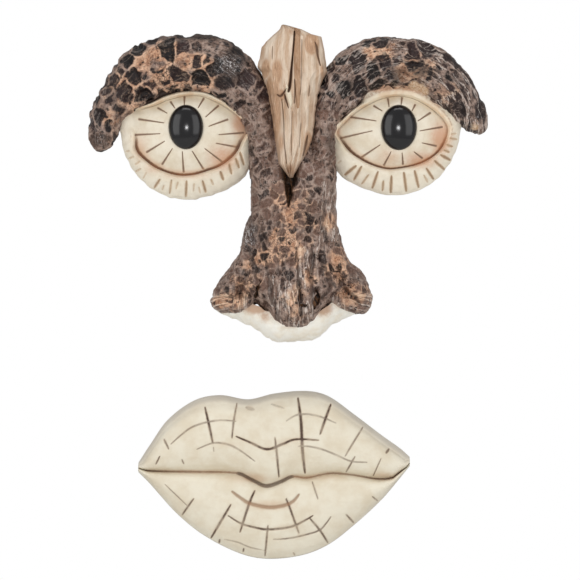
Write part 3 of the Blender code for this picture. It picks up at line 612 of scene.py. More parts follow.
def makeBarkPaint():
    material, wire, shader, colour = newMaterial("barkPaint", bark)
    edge, pit, smallPit, tag, tan, nose = wire.values("edge", "pit", "smallPit", "tag", "tan", "nose")
    aside, along, drawn, groove, worm = wire.values("aside", "along", "drawn", "groove", "worm")
    soot, glint, peel, hollow, backing = wire.values("soot", "glint", "peel", "hollow", "backing")
    coarse, fine = wire.mottle(300), wire.mottle(1100, 5.0)
    specks, dirt = wire.mottle(2400, 2.0), wire.mottle(420, 6.0, 0.72)
    flow = wire.node("CombineXYZ", {}, {0: aside, 1: along * 0.15})
    streaks, wide = wire.noise(flow, 1.0, 4.0, 0.62), wire.noise(flow, 0.36, 2.5)
    tanShare = (tan + (coarse - 0.5) * 0.9).ramp(0.34, 0.78)
    ridge = fine.ramp(0.36, 0.66).blend(tanShare.blend(*colour.ridgeShade), tanShare.blend(*colour.ridge))
    hole = nose.blend(
        (fine * 0.8 + tag * 0.5).ramp(0.5, 1.1).blend(*colour.hole),
        (fine * 0.7 + tag * 0.6).ramp(0.4, 0.95).blend(*colour.noseHole))
    crest = (edge + nose * 0.18 + (fine - 0.5) * 1.5).fall(0.1, 0.7)
    crest = crest * (nose * 0.15 + coarse.ramp(0.38, 0.6) * 0.65 + 0.2)
    wormCrack = wire.cracks(520).fall(0.04, 0.13) * worm * coarse.ramp(0.34, 0.48)
    brushed = streaks.ramp(0.54, 0.66) * (drawn * 0.7 + 0.3) * fine.ramp(0.42, 0.6) * (1 - pit * 0.5)
    strip = wide.fall(0.42, 0.48) * (drawn * 2.4 - 0.9) * (1 - nose)
    thread = wide.threads(0.004, 0.03) * (drawn * 1.15 - 0.08) * fine.ramp(0.36, 0.52)
    net = wire.cracks(460).fall(0.015, 0.08) * coarse.ramp(0.46, 0.64) * (1 - pit * 0.75)
    # painted highlights: white specks and thin lines that stand for glints off the glossy black paint
    sparkle = specks.ramp(0.57, 0.66) * 0.7 + streaks.threads(0.0, 0.05) * fine.ramp(0.42, 0.55)
    base = (pit + (fine - 0.5) * 0.9).ramp(0.1, 0.36).blend(ridge, hole)
    plug(shader, "Base Color", layered(
        base,
        (crest, tanShare.blend(*colour.crest)),
        (smallPit.ramp(0.25, 0.7) * 0.9, colour.smallPit),
        (dirt.fall(0.36, 0.45) * 0.65, colour.dirt),
        (wormCrack, colour.wormCrack),
        (brushed, tanShare.blend(*colour.brushed)),
        (streaks.fall(0.37, 0.48) * (drawn + 0.1) * (0.8 - nose * 0.2), colour.streak),
        (strip, colour.strip),
        (thread, tanShare.blend(*colour.thread)),
        (net * (nose * 0.25 + 0.6), tanShare.blend(*colour.net)),
        # painted shade darkening the folds down the nose
        ((groove + (fine - 0.5) * 0.6).ramp(0.3, 0.85) * 0.6, colour.groove),
        # near black, partly the bark's own black paint and partly painted shade on the top rims and beside the
        # nose
        (soot.ramp(0.2, 0.7) * (coarse * 0.5 + 0.55), colour.soot),
        ((sparkle * glint).ramp(0.1, 0.8), colour.glint),
        (peel * 0.9, fine.ramp(0.35, 0.65).blend(*colour.peeled)),
        # painted shade down in the carved hollows, streaked with brown splinters
        (hollow.ramp(0.15, 0.7), (streaks + fine * 0.5).ramp(0.7, 0.9).blend(*colour.hollow)),
        (backing.ramp(0.85, 0.95), coarse.blend(*colour.back)),
    ))
    plug(shader, "Roughness", 0.6 - pit * 0.2 + fine * 0.1)
    shader.inputs["Specular IOR Level"].default_value = 0.25
    plugBump(shader, fine * 0.6 + streaks * drawn + net * 0.2, 0.0005, 0.7)
    return material


# the bare wood below the nose

foot = {
    "edge": [    # across, height of the lower edge
        (-37, -94.4), (-32.5, -97.2), (-24.5, -100.6), (-16.5, -104.2), (-12.5, -107.2), (-8.5, -110.2),
        (-4, -111.2), (4, -110.2), (11.5, -110.2), (15.5, -108.4), (19.5, -104.2), (23.5, -100.8),
        (31.5, -97.6), (38, -94.8),
    ],
    "middle": 0.5,
    "halfWidth": 37.5,
    "kneeRise": 9,
    "tuck": 5,
    "lipDepth": 9,
    "sideDepth": 15.5,
    "middleDepth": 25,
    "wash": [
        (-16, -94, 9, 4, 1), (-12, -98, 4, 5, 0.7), (17, -94, 6, 5, 1), (0, -103.5, 6, 1.6, 0.5),
        (-33, -95, 6, 2, 0.4), (33, -94, 6, 2, 0.4),
    ],
    "colours": {"cream": ((252, 249, 240), (243, 234, 217)), "wash": (190, 150, 118)},
}


def makeFoot(material):
    # columns across, each a smooth line from under the bark over the knee to the thin lip, then up the back
    across = np.linspace(foot["edge"][0][0], foot["edge"][-1][0], 230)[:, None]
    low = np.interp(across, *np.array(foot["edge"]).T) - 0.25 + 0.5 * softLine(across, 2.4, 61)
    swell = np.maximum(0, 1 - ((across - foot["middle"]) / foot["halfWidth"]) ** 2)
    kneeDepth = mixed(foot["sideDepth"], foot["middleDepth"], swell)
    knee = low + foot["kneeRise"] * (1 + swell) / 2
    top = knee + foot["tuck"] * (1 + 3 * swell) / 4
    share = np.linspace(0, 1, 70)[None, :]
    turn = share * np.pi / 2
    under, back = mixed(top, knee, share[:, ::7]), mixed(low, top, share[:, ::4])
    up = np.concatenate([under, mixed(knee, low, np.sin(turn) ** 1.3), back], 1)
    front = mixed(foot["lipDepth"], kneeDepth, np.cos(turn) ** 1.2)
    forward = np.concatenate([kneeDepth + 0 * under, front, hiddenBack + 0 * back], 1)
    skin = closedMesh("bareFoot", np.stack([across + 0 * up, up, forward], -1))
    places, normals = placesOf(skin), vectorsOf(skin.vertex_normals, "vector")
    rise = 0.35 * softNoise(places, (5.0, 9.0, 6.0), 62) + 0.12 * softNoise(places, 1.6, 63)
    rise = rise * eased(0.5, 4.0, places[:, 2])
    places = places + normals * rise[:, None]
    wash = blot(places[:, 0], places[:, 1], foot["wash"]) * (places[:, 2] > 1)
    finishPiece("bareFoot", skin, places, material, "cream_paint", "eyes_and_nose", wash=wash)


def makeFootPaint():
    material, wire, shader, colour = newMaterial("bareFootPaint", foot)
    fine, coarse = wire.mottle(700), wire.mottle(140)
    [wash] = wire.values("wash")
    plug(shader, "Base Color", layered(
        coarse.ramp(0.35, 0.7).blend(*colour.cream),
        ((wash + (fine - 0.5) * 0.5).ramp(0.25, 0.85) * 0.85, colour.wash),
    ))
    shader.inputs["Roughness"].default_value = 0.6
    plugBump(shader, fine + coarse, 0.0004, 0.5)
    return material


# the split wood between the brows

wood = {
    "leftEdge": [    # up, across
        (-29, 0.2), (-22, -5.2), (-9.5, -7), (2.5, -8.6), (14, -10.6), (24, -13.8), (26.5, -15.6),
        (36.5, -13.6), (41, -9.6), (45, -5.2), (47.6, -3.6),
    ],
    "rightEdge": [
        (-29, 1.8), (-19.5, 7.4), (-13.5, 10.4), (-6.5, 12), (2, 13), (12.5, 14.4), (19.5, 16.8), (24, 19),
        (27.5, 18.6), (35, 17.6), (41.6, 16.2), (43, 11), (45.5, 6.2), (46.6, 2.4), (47.6, -1.6),
    ],
    "ridge": [    # up, depth
        (-29, 26), (-22, 27), (-12, 27), (0, 26.5), (12, 26), (23, 25.5), (28, 25), (35.5, 24), (41.6, 22),
        (45.4, 19), (47.6, 16),
    ],
    "cracks": [    # places along the grain, half width, depth, tone
        ([(2.7, 44, 0.45), (2.2, 36, 0.55), (1.5, 28, 0.65), (0.6, 18, 1), (-0.2, 14, 0.8)], 0.8, 2.6, 1),
        ([(2.7, 20), (3, 14), (2.6, 8)], 0.4, 0.9, 0.6),
        ([(-5.9, 12.4, 0.3), (-4.2, 11.6, 1), (-2.4, 13.6, 0.7), (-1.2, 15.4, 0.2)], 0.7, 1, 0.8),
        ([(-2.2, 12.5, 0.5), (-1.4, 9.5, 1), (-0.2, 5.6, 0.4)], 0.5, 1, 0.8),
        ([(-3.6, 10), (-2.7, 0), (-2.3, -12), (-1.2, -22)], 0.35, 0.7, 0.5),
        ([(13, 38.6, 0.3), (14, 35.4, 1), (14.3, 32, 0.7), (15.6, 27, 0.4)], 0.8, 0.9, 0.75),
        ([(10.4, 17), (9.8, 11.5)], 0.35, 0.6, 0.5),
        ([(9.2, -8, 0.3), (8.4, -12.5, 1), (7, -18, 0.5)], 0.7, 1, 0.8),
        ([(-8.2, 36.5), (-8.4, 30)], 0.3, 0.6, 0.4),
        ([(6.4, 40), (6.2, 22), (5.6, 12)], 0.3, 0.8, 0.35),
        ([(-11.2, 20), (-9, 10), (-7.4, 0)], 0.3, 0.6, 0.35),
        ([(1.6, 4), (1.2, -8), (1.2, -18)], 0.3, 0.6, 0.3),
        ([(6, -2), (5, -14)], 0.3, 0.6, 0.35),
    ],
    "nailHole": (0, 20, 4, 9.7),    # in the back: across, up, radius, depth
    "strip": [    # the split's lit wall: places, half width, tone
        ([(4.1, 45.5, 1), (4.1, 30, 1), (4.3, 14, 0.9), (4.4, 6, 0.4)], 1.5, 1)],
    "splinter": [([(-1.2, 17, 0.3), (-0.4, 13.5, 1), (0.6, 9, 0.9), (1, 6, 0.2)], 1.2, 1)],
    "tanBlots": [
        (-6, 23.5, 3.2, 7.5, 0.9), (-11.5, 25.5, 2.4, 5, 1), (11.4, 38, 3.4, 5.5, 1.4),
        (-7.2, 4, 3.4, 18, 1.1), (-4, 12, 2.2, 3, 1.2), (9.6, -12, 2.2, 7, 1), (16.6, 24, 1.6, 6, 0.6),
        (-9.5, 16, 2, 7, 0.9), (-4.4, -12, 2.4, 8, 0.6), (0.6, -25, 3, 4, 0.6), (0.4, 44, 3, 3, 0.5),
        (11.5, 6, 1.6, 10, 0.5),
    ],
    "colours": {
        "pale": ((190, 157, 127), (224, 207, 187)), "tan": ((158, 118, 86), (198, 158, 124)),
        "strip": ((160, 122, 90), (186, 150, 118)), "edge": (160, 124, 96), "darkGrain": (156, 122, 94),
        "lightGrain": (238, 226, 208), "splinter": (234, 220, 196), "crackEdge": (146, 106, 76),
        "crack": (84, 58, 40),
    },
}


def makeWood(material):
    # levels from the tip up: each runs over the facets from the left edge to the right one, then back behind
    up = np.linspace(wood["ridge"][0][0], wood["ridge"][-1][0], 300)[:, None]
    share = np.linspace(0, 1, 200)[None, :]
    jag = 0.18 * softLine(up, 1.7, 71) * eased(-20, 0, up)
    left = np.interp(up, *np.array(wood["leftEdge"]).T) + jag
    right = np.interp(up, *np.array(wood["rightEdge"]).T) - jag[::-1]
    across = mixed(left, right, share)
    depth = np.interp(up, *np.array(wood["ridge"]).T)
    crown = 1.6 * (1 - (2 * share - 1) ** 2) - 5.0 * np.abs(2 * share - 1) ** 5
    grainPlace = np.stack([share * 26 + 0 * up, up / 9.0 + 0 * share, 0 * across], -1)
    facets = -2.4 * np.abs(softNoise(grainPlace * (0.22, 0.35, 1), 1.0, 72))
    facets = facets - 0.9 * np.abs(softNoise(grainPlace * (0.7, 1, 1), 1.0, 73))
    grain = 0.16 * softNoise(grainPlace * (3.2, 1, 1), 1.0, 74)
    up = up + 0 * across
    cracks = [(line, halfWidth, tone) for line, halfWidth, _, tone in wood["cracks"]]
    reach, tone = strokeField(across, up, cracks)
    sunk = [
        deepest * eased(0.35, 0.9, strokeField(across, up, [crack])[0])
        for crack, (_, _, deepest, _) in zip(cracks, wood["cracks"])
    ]
    splinter, _ = strokeField(across, up, wood["splinter"])
    strip, _ = strokeField(across, up, wood["strip"])
    forward = depth + 0.8 + crown + facets + grain - np.max(sunk, axis=0)
    forward += 1.8 * eased(0.3, 0.8, splinter) - 1.2 * eased(0.35, 0.6, strip)
    rear = mixed(right, left, np.linspace(0, 1, 110)[None, :])
    rearUp = up[:, :1] + 0 * rear
    rearForward = hiddenBack + blindHole(rear, rearUp, wood["nailHole"])
    pairs = ((across, rear), (up, rearUp), (forward, rearForward))
    skin = closedMesh("splitWood", np.stack([np.concatenate(pair, 1) for pair in pairs], -1))
    values = {
        "crack": reach, "tone": tone, "strip": strip, "splinter": splinter,
        "tan": np.clip(blot(across, up, wood["tanBlots"]), 0, 1),
        "edgeGap": np.clip(np.minimum(share, 1 - share) * (right - left), 0, 4),
        "grainAcross": share * 8 + across * 0.7,
    }
    finishPiece(
        "splitWood", skin, placesOf(skin), material, "cream_paint", "eyes_and_nose",
        **{name: np.concatenate([value, 0 * rear], 1) for name, value in values.items()},
    )


def makeWoodPaint():
    material, wire, shader, colour = newMaterial("splitWoodPaint", wood)
    tan, strip, edgeGap, splinter = wire.values("tan", "strip", "edgeGap", "splinter")
    crack, tone, grainAcross = wire.values("crack", "tone", "grainAcross")
    height = wire.node("SeparateXYZ", {}, {0: wire.place()}, output=2)
    place = wire.node("CombineXYZ", {}, {0: grainAcross, 1: height * 90.0})
    broad, grain = wire.noise(place, 0.45, 3.0), wire.noise(place, 2.4, 5.0, 0.65)
    crack = crack + (grain - 0.5) * 0.5
    tan = (tan + (broad - 0.5) * 0.8 + (grain - 0.5) * 0.5).ramp(0.28, 0.62)
    plug(shader, "Base Color", layered(
        (broad.ramp(0.34, 0.62) * 0.7 + grain.ramp(0.3, 0.7) * 0.3).blend(*colour.pale),
        (tan * 0.85, grain.ramp(0.35, 0.65).blend(*colour.tan)),
        (strip.ramp(0.4, 0.55) * 0.9, grain.ramp(0.3, 0.7).blend(*colour.strip)),
        # painted shade along both sides of the wood, where it meets the bark
        (edgeGap.fall(0.2, 1.6) * 0.6, colour.edge),
        (grain.fall(0.32, 0.42) * 0.5, colour.darkGrain),
        (grain.ramp(0.6, 0.7) * 0.6, colour.lightGrain),
        (splinter.ramp(0.35, 0.6), colour.splinter),
        (crack.ramp(0.1, 0.7) * tone * 0.6, colour.crackEdge),
        (crack.ramp(0.4, 0.85) * tone, colour.crack),
    ))
    shader.inputs["Roughness"].default_value = 0.62
    plugBump(shader, grain + broad * 0.5, 0.0006, 0.6)
    return material


# the eyes

leftEye = {
    "name": "leftEye",
    "outline": (-51.2, -4.2, 33.4, 35.6),    # across, up, half width, half height
    "pupil": (-51.5, -3.6, 8.6, 11.1),
    "innerSide": 0,    # the bearing of the nose
    "fullness": 1.9,
    "opening": [    # places on the lids' edge, anticlockwise
        (-21, -5), (-24, 0.5), (-28.5, 4.5), (-34, 8), (-43.5, 12), (-52.5, 12), (-61, 10), (-67, 7.5),
        (-78, 4), (-77.8, 0), (-77, -7.5), (-76.5, -15), (-71.5, -20.5), (-65.5, -24.5), (-56.5, -27.5),
        (-48.5, -27.5), (-41, -25.5), (-33.5, -22.5), (-26.5, -16.5), (-23.5, -10.5),
    ],
    "tuckedAbove": (-1, 4),    # where the band tucks under the brow
    "bareBand": (0, 0),    # and where it doesn't, across
    "rays": [    # across and up at the lid's end, then at the pupil's end
        (-59.1, 9, -57, 5.9), (-65.4, 6, -61, 3.4), (-75, 0.4, -62.5, -1.5), (-76.8, -7.4, -64.5, -6.9),
        (-71, -16, -62.2, -10.7), (-63.3, -22, -58.3, -14.4), (-52.7, -25.9, -53.3, -15.9),
        (-42.9, -24.4, -48.3, -15.7), (-33.3, -21, -42, -14.4), (-26, -13.5, -36.4, -11.7),
        (-22.9, -6.3, -35, -7.4), (-30.8, 0.2, -40, -3.2), (-35.4, 7.1, -41.6, 1.5), (-42.7, 10.7, -45.4, 6),
        (-52.3, 11.5, -52.3, 7.5),
    ],
    "lashes": [    # across and up at the lid's end, then at the outer end, and strength
        (-85, -5.5, -86.5, -5.5, 0.5), (-84.2, -10, -86, -10, 0.5), (-79.7, -15.4, -81.6, -15.6, 0.6),
        (-77.5, -18.3, -80.2, -19.2, 0.6), (-74.5, -20.7, -77, -22.3, 0.6), (-74.1, -24.3, -77, -25.8, 0.7),
        (-71.3, -26.2, -73, -29.2, 0.6), (-64.5, -29.6, -67.4, -33.8, 1), (-62.5, -32.5, -63.5, -35, 0.6),
        (-58.7, -30, -59.7, -36.7, 0.8), (-55.5, -31, -56.5, -34.5, 0.6), (-51.2, -30.4, -51.6, -38.3, 1),
        (-47.4, -31.7, -47.8, -35.8, 0.6), (-45, -33.5, -44.5, -36.5, 0.6), (-43.2, -30.4, -41.6, -36.2, 1),
        (-39.1, -29.6, -37.8, -32.5, 0.7), (-34.3, -25.8, -32.8, -30, 1.2), (-29.9, -22.1, -28.7, -27.1, 1),
        (-26.6, -19.2, -24.9, -24, 1), (-24.5, -16, -22.5, -22.5, 1),
    ],
    "plainCorner": [(-79, 0.5, 6, 8.5, 1.3)],    # where the ball runs on into the band with no lid between
    "wash": [    # rust
        (-74, -14, 6, 10, 0.45), (-33, -19, 9, 8, 0.8), (-24, -2, 5, 7, 1), (-51, -27.5, 16, 3, 0.5),
        (-68, -24, 6, 4, 0.5), (-62, 9, 3, 3, 0.2),
    ],
}
rightEye = {
    "name": "rightEye",
    "outline": (53, -1.2, 33.4, 36.4),
    "pupil": (54.9, -3.8, 8.9, 11.3),
    "innerSide": np.pi,
    "fullness": 1.8,
    "opening": [
        (79.5, -5.5), (77.5, 0), (71, 6), (63, 10.5), (55.5, 12), (47.5, 11), (40, 8), (33.5, 4),
        (28.5, -0.5), (24, -5.5), (25.5, -9.5), (30, -15.5), (35.5, -19.5), (41.5, -22.5), (49, -24.5),
        (56, -24), (65, -22), (72.5, -18), (77, -13),
    ],
    "tuckedAbove": (-3, 2),
    "bareBand": (37, 130),
    "rays": [
        (42.5, 7, 46.5, 4.5), (49.5, 10.5, 50, 6.5), (56.5, 11, 56, 7.5), (63, 7.5, 61.5, 4.5),
        (70.5, 3.5, 64.5, -0.5), (76.5, -3.5, 65.5, -5.5), (73.5, -13, 66.5, -11.5), (66.5, -19, 62.5, -16),
        (57, -22, 56.5, -16.5), (47.5, -22.5, 51, -16), (36.5, -18.5, 45.5, -12.5), (26, -9, 41.5, -5.5),
        (31, 1.5, 43.5, -0.5),
    ],
    "lashes": [
        (26.2, -20.2, 24.3, -21.7, 0.5), (33.5, -22.9, 27.8, -27.5, 1.2), (36.3, -23.2, 32.4, -30, 1.1),
        (39.8, -27.3, 36.3, -32.1, 0.8), (44.5, -25.8, 41.6, -34.2, 1.1), (47.2, -30.4, 46.8, -35.4, 0.9),
        (51.2, -27.9, 50.9, -36.7, 1.1), (57.4, -26.2, 58.7, -35.8, 1.1), (62.8, -25.4, 64.9, -33.8, 1.1),
        (67.4, -27.5, 69.5, -31.2, 0.7), (68.7, -24.2, 72.4, -29.6, 1.1), (72.8, -20.4, 78.2, -25, 1.1),
        (75.8, -17.5, 80.8, -20, 1.2), (77.4, -15, 80.3, -16.2, 0.9), (78.7, -12.5, 82, -13.3, 0.9),
        (80.3, -9.2, 84.1, -9.6, 0.8), (80.8, -7.1, 83.7, -6.7, 0.6),
    ],
    "plainCorner": [(80, -2, 2, 2, 0.4)],
    "wash": [
        (76, -9, 6, 9, 1), (66, -20, 10, 5, 0.8), (50, -19, 9, 7, 0.5), (28, 2, 6, 6, 0.45),
        (38, -19, 6, 3, 0.3), (24, -6, 3, 4, 0.6), (46, 17, 10, 3.2, 1.3), (62, 17, 9, 3.4, 1.2),
        (74, 9, 5, 4, 0.6),
    ],
}
eyeForm = {
    "ballMiddle": 17.4,
    "ballEdge": 12.6,
    "pupilTop": 21.5,
    "pupilFoot": 17,
    "lidCrest": 15.6,
    "lidFoot": 9.5,
    "crestWidth": 1.5,
    "rayHalfWidth": 0.55,
    "lashHalfWidth": 0.5,
    "rayDepth": 0.6,
    "tuckDepth": 3,
    "lashDepth": 0.9,
    "flutes": 46,
    "fluteDepth": 0.22,
    "around": 420,
    "colours": {
        "cream": ((232, 222, 203), (219, 205, 181)), "lidLine": ((92, 60, 40), (156, 104, 70)),
        "rim": ((240, 226, 202), (232, 204, 172)), "band": (242, 233, 215), "wash": (204, 152, 118),
        "speck": (196, 178, 150), "rayEdge": (190, 158, 126), "ray": (116, 88, 70), "lashEdge": (190, 158, 122),
        "lash": (140, 106, 78), "lidShade": (202, 160, 124), "rimLine": (168, 126, 92), "tuck": (84, 66, 58),
        "pupil": (20, 19, 21),
    },
}


def ovalEdge(oval, angle, sharpness):    # where |cos/half width|^s + |sin/reach|^s makes 1, on each bearing
    x, z, halfWidth, halfHeight = oval
    reach = (np.abs(np.cos(angle) / halfWidth) ** sharpness + np.abs(np.sin(angle) / halfHeight) ** sharpness)
    reach = reach ** (-1 / sharpness)
    return np.stack([x + reach * np.cos(angle), z + reach * np.sin(angle)], -1)


def openingEdge(eye, angle):    # a closed cubic through the opening's places, read on each bearing
    places = np.array(eye["opening"])
    ring = smoothPath(np.concatenate([places[-2:], places, places[:3]]), 12 * (len(places) + 4) + 1)[24:-24]
    offset = ring - eye["pupil"][:2]
    bearing, reach = np.arctan2(offset[:, 1], offset[:, 0]), np.linalg.norm(offset, axis=-1)
    reach = np.interp(angle, bearing, reach, period=2 * np.pi)
    return np.stack([np.cos(angle), np.sin(angle)], -1) * reach[:, None] + eye["pupil"][:2]


def outlineEdge(eye, angle):    # the eye's outside, fuller towards the nose
    fuller = eye["fullness"] * np.maximum(0, np.cos(angle - eye["innerSide"])) ** 3
    return ovalEdge(eye["outline"], angle, 2 + fuller)


def ringsBetween(first, last, share, *numbers):
    # a ring at each share of the way from one line to another: across, up, and each number given to every place
    places = mixed(first, last, share[..., None])
    return [places[..., 0], places[..., 1], *(number + np.zeros(places.shape[:2]) for number in numbers)]


def makeEye(eye, material):
    # rings from the pupil's middle outwards: its dome, the ball, the lids, the band, the wall and the back
    angle = np.linspace(0, 2 * np.pi, eyeForm["around"], endpoint=False)
    middle = np.array(eye["pupil"][:2])
    pupilEdge = ovalEdge(eye["pupil"], angle, 2.0)
    inner = openingEdge(eye, angle)
    outer = outlineEdge(eye, angle)
    crest = mixed(inner, outer, (eyeForm["crestWidth"] / np.linalg.norm(outer - inner, axis=-1))[:, None])
    corner = np.minimum(blot(*inner.T, eye["plainCorner"]), 1)
    pupilFoot, ballEdge, lidFoot = (eyeForm[name] for name in ("pupilFoot", "ballEdge", "lidFoot"))
    lidCrest = mixed(eyeForm["lidCrest"], ballEdge - 0.2, corner)
    dome = np.sin(np.linspace(0.02, 1, 34) * np.pi / 2)[:, None]
    ball, lid = (np.linspace(0, 1, count)[:, None] for count in (66, 10))
    band, wall = (np.linspace(0, 1, count)[1:, None] for count in (46, 8))
    inwards = np.array([0.7, 0.4, 0.1])[:, None]
    pupilRise = pupilFoot + (eyeForm["pupilTop"] - pupilFoot) * (1 - dome ** 2) ** 0.55
    ballRise = mixed(eyeForm["ballMiddle"], ballEdge, ball ** 2) - 0.5 * (ball < 0.01)
    lidRise = mixed(ballEdge, lidCrest, np.sin(lid * np.pi / 2) ** 0.7)
    bandRise = mixed(lidFoot, lidCrest, (1 - band ** 1.9) ** 0.85)
    rings = [    # from and to which line, shares, forward, and how far through the pupil, ball and band it is
        (middle, pupilEdge, dome, pupilRise, dome, 0, -1),
        (pupilEdge, inner, ball, ballRise, 2, ball, -1),
        (inner, crest, 0.02 + 0.98 * lid, lidRise, 2, 1, 0),
        (crest, outer, band, bandRise, 2, 1, band),
        (outer, outer, wall, mixed(lidFoot, hiddenBack, wall), 2, 1, 1),
        (middle, outer, inwards, hiddenBack, 2, 1, 1),
    ]
    across, up, forward, pupilZone, ballZone, bandZone = (
        np.concatenate(column) for column in zip(*(ringsBetween(*ring) for ring in rings)))
    behind = len(wall) + len(inwards)
    front = (np.arange(len(up)) < len(up) - behind)[:, None]

    rays = [
        ([(x, z, 1.0), (nearX, nearZ, 0.4)], eyeForm["rayHalfWidth"], 1.0)
        for x, z, nearX, nearZ in eye["rays"]
    ]
    lashes = [
        ([(x, z), (farX, farZ)], eyeForm["lashHalfWidth"] * (0.7 + 0.5 * tone), tone)
        for x, z, farX, farZ, tone in eye["lashes"]
    ]
    ray, _ = strokeField(across, up, rays)
    lash, lashTone = strokeField(across, up, lashes)
    ray *= front * (pupilZone > 1.5)
    lash *= front
    forward -= eyeForm["rayDepth"] * eased(0.3, 1.0, ray)
    forward -= eyeForm["lashDepth"] * eased(0.2, 1.0, lash) * np.minimum(lashTone, 1)
    low, high = eye["bareBand"]
    bare = eased(low, low + 4, inner[:, 0]) * (1 - eased(high - 4, high, inner[:, 0]))
    tucked = eased(*eye["tuckedAbove"], inner[:, 1]) * (1 - bare) * (1 - corner)
    tucked = tucked[None, :] * eased(0.01, 0.1, bandZone) * front
    forward -= eyeForm["tuckDepth"] * tucked
    places = np.stack([across, up, forward], -1)
    uneven = 0.22 * softNoise(places, 5.0, 81) + 0.08 * softNoise(places, 1.7, 82)
    onBand = eased(0.0, 0.15, bandZone) * front
    forward += uneven * np.where(pupilZone < 1.5, 0, 0.5 + onBand) * front
    lowerHalf = eased(np.radians(175), np.radians(190), angle)
    flute = eyeForm["fluteDepth"] * np.sin(angle * eyeForm["flutes"]) * lowerHalf
    forward += flute[None, :] * onBand * eased(0.3, 0.8, bandZone)
    outward = np.stack([across, up], -1) - middle
    outward = outward / np.linalg.norm(outward, axis=-1, keepdims=True).clip(1e-3)
    scallop = (0.35 * softNoise(places * (1, 1, 0), 2.6, 83) - 0.15 - 0.45 * lash) * (bandZone > 0.9)
    places = np.stack([across, up, forward], -1)
    places[..., :2] += outward * scallop[..., None]
    skin = closedMesh(eye["name"], places)
    finishPiece(
        eye["name"], skin, placesOf(skin), material, "cream_paint", "eyes_and_nose", ray=ray, lash=lash,
        lashTone=lashTone, pupilZone=pupilZone, ballZone=ballZone, bandZone=bandZone, tucked=tucked,
        wash=np.clip(blot(across, up, eye["wash"]), 0, 1) * front, corner=corner[None, :] + 0 * up,
        topSide=eased(-14.0, -6.0, inner[:, 1])[None, :] + 0 * up,
    )


def makeEyePaint():
    material, wire, shader, colour = newMaterial("eyePaint", eyeForm)
    ray, lash, lashTone, wash, tucked = wire.values("ray", "lash", "lashTone", "wash", "tucked")
    pupil, ball, band, corner, topSide = wire.values("pupilZone", "ballZone", "bandZone", "corner", "topSide")
    fine, coarse = wire.mottle(800), wire.mottle(130)
    pupil = pupil.fall(1.05, 1.5)
    wash = (wash * (fine * 0.7 + 0.6)).ramp(0.08, 0.9)
    ray = ray + (fine - 0.5) * 0.3
    lash = (lash + (fine - 0.5) * 0.4) * lashTone
    lower, lidded, inside = 1 - topSide, corner.fall(0.15, 0.8), band.fall(-0.5, 0.1)
    # painted shade: a dark line in the crease where the ball meets the lids, warmed by the rust wash
    lidLine = (ball + lower * 0.025 + (fine - 0.5) * 0.05).ramp(0.91, 0.97) * inside * (lower * 0.5 + 0.45)
    rim = band.ramp(-0.4, 0.0) * band.fall(0.03, 0.12) * topSide
    # painted shade: a thin tan-brown line just beyond the upper lid's crest, towards the brow
    rimLine = band.ramp(0.04, 0.1) * band.fall(0.12, 0.2) * topSide * fine.ramp(0.35, 0.6)
    plug(shader, "Base Color", layered(
        coarse.ramp(0.35, 0.7).blend(*colour.cream),
        (band.ramp(0.05, 0.6) * 0.6, colour.band),
        (wash * 0.8, colour.wash),
        (fine.ramp(0.56, 0.72) * 0.2, colour.speck),
        (ray.ramp(0.05, 0.6) * 0.45, colour.rayEdge),
        (ray.ramp(0.36, 0.75) * 0.85, colour.ray),
        (lash.ramp(0.05, 0.7) * 0.75, colour.lashEdge),
        (lash.ramp(0.5, 0.95) * 0.6, colour.lash),
        (ball.ramp(0.74, 0.97) * lower * inside * 0.6, colour.lidShade),
        (lidLine * lidded, wash.blend(*colour.lidLine)),
        (rim * lidded * 0.8, coarse.ramp(0.4, 0.65).blend(*colour.rim)),
        (rimLine * lidded * 0.6, colour.rimLine),
        # painted shade: the band where it tucks under the brow, dark as the bark
        (tucked.ramp(0.2, 0.7), colour.tuck),
        (pupil, colour.pupil),
    ))
    plug(shader, "Roughness", 0.55 - pupil * 0.39)
    plugBump(shader, (fine * 0.6 + coarse) * (1 - pupil), 0.0003, 0.5)
    return material


# the mouth

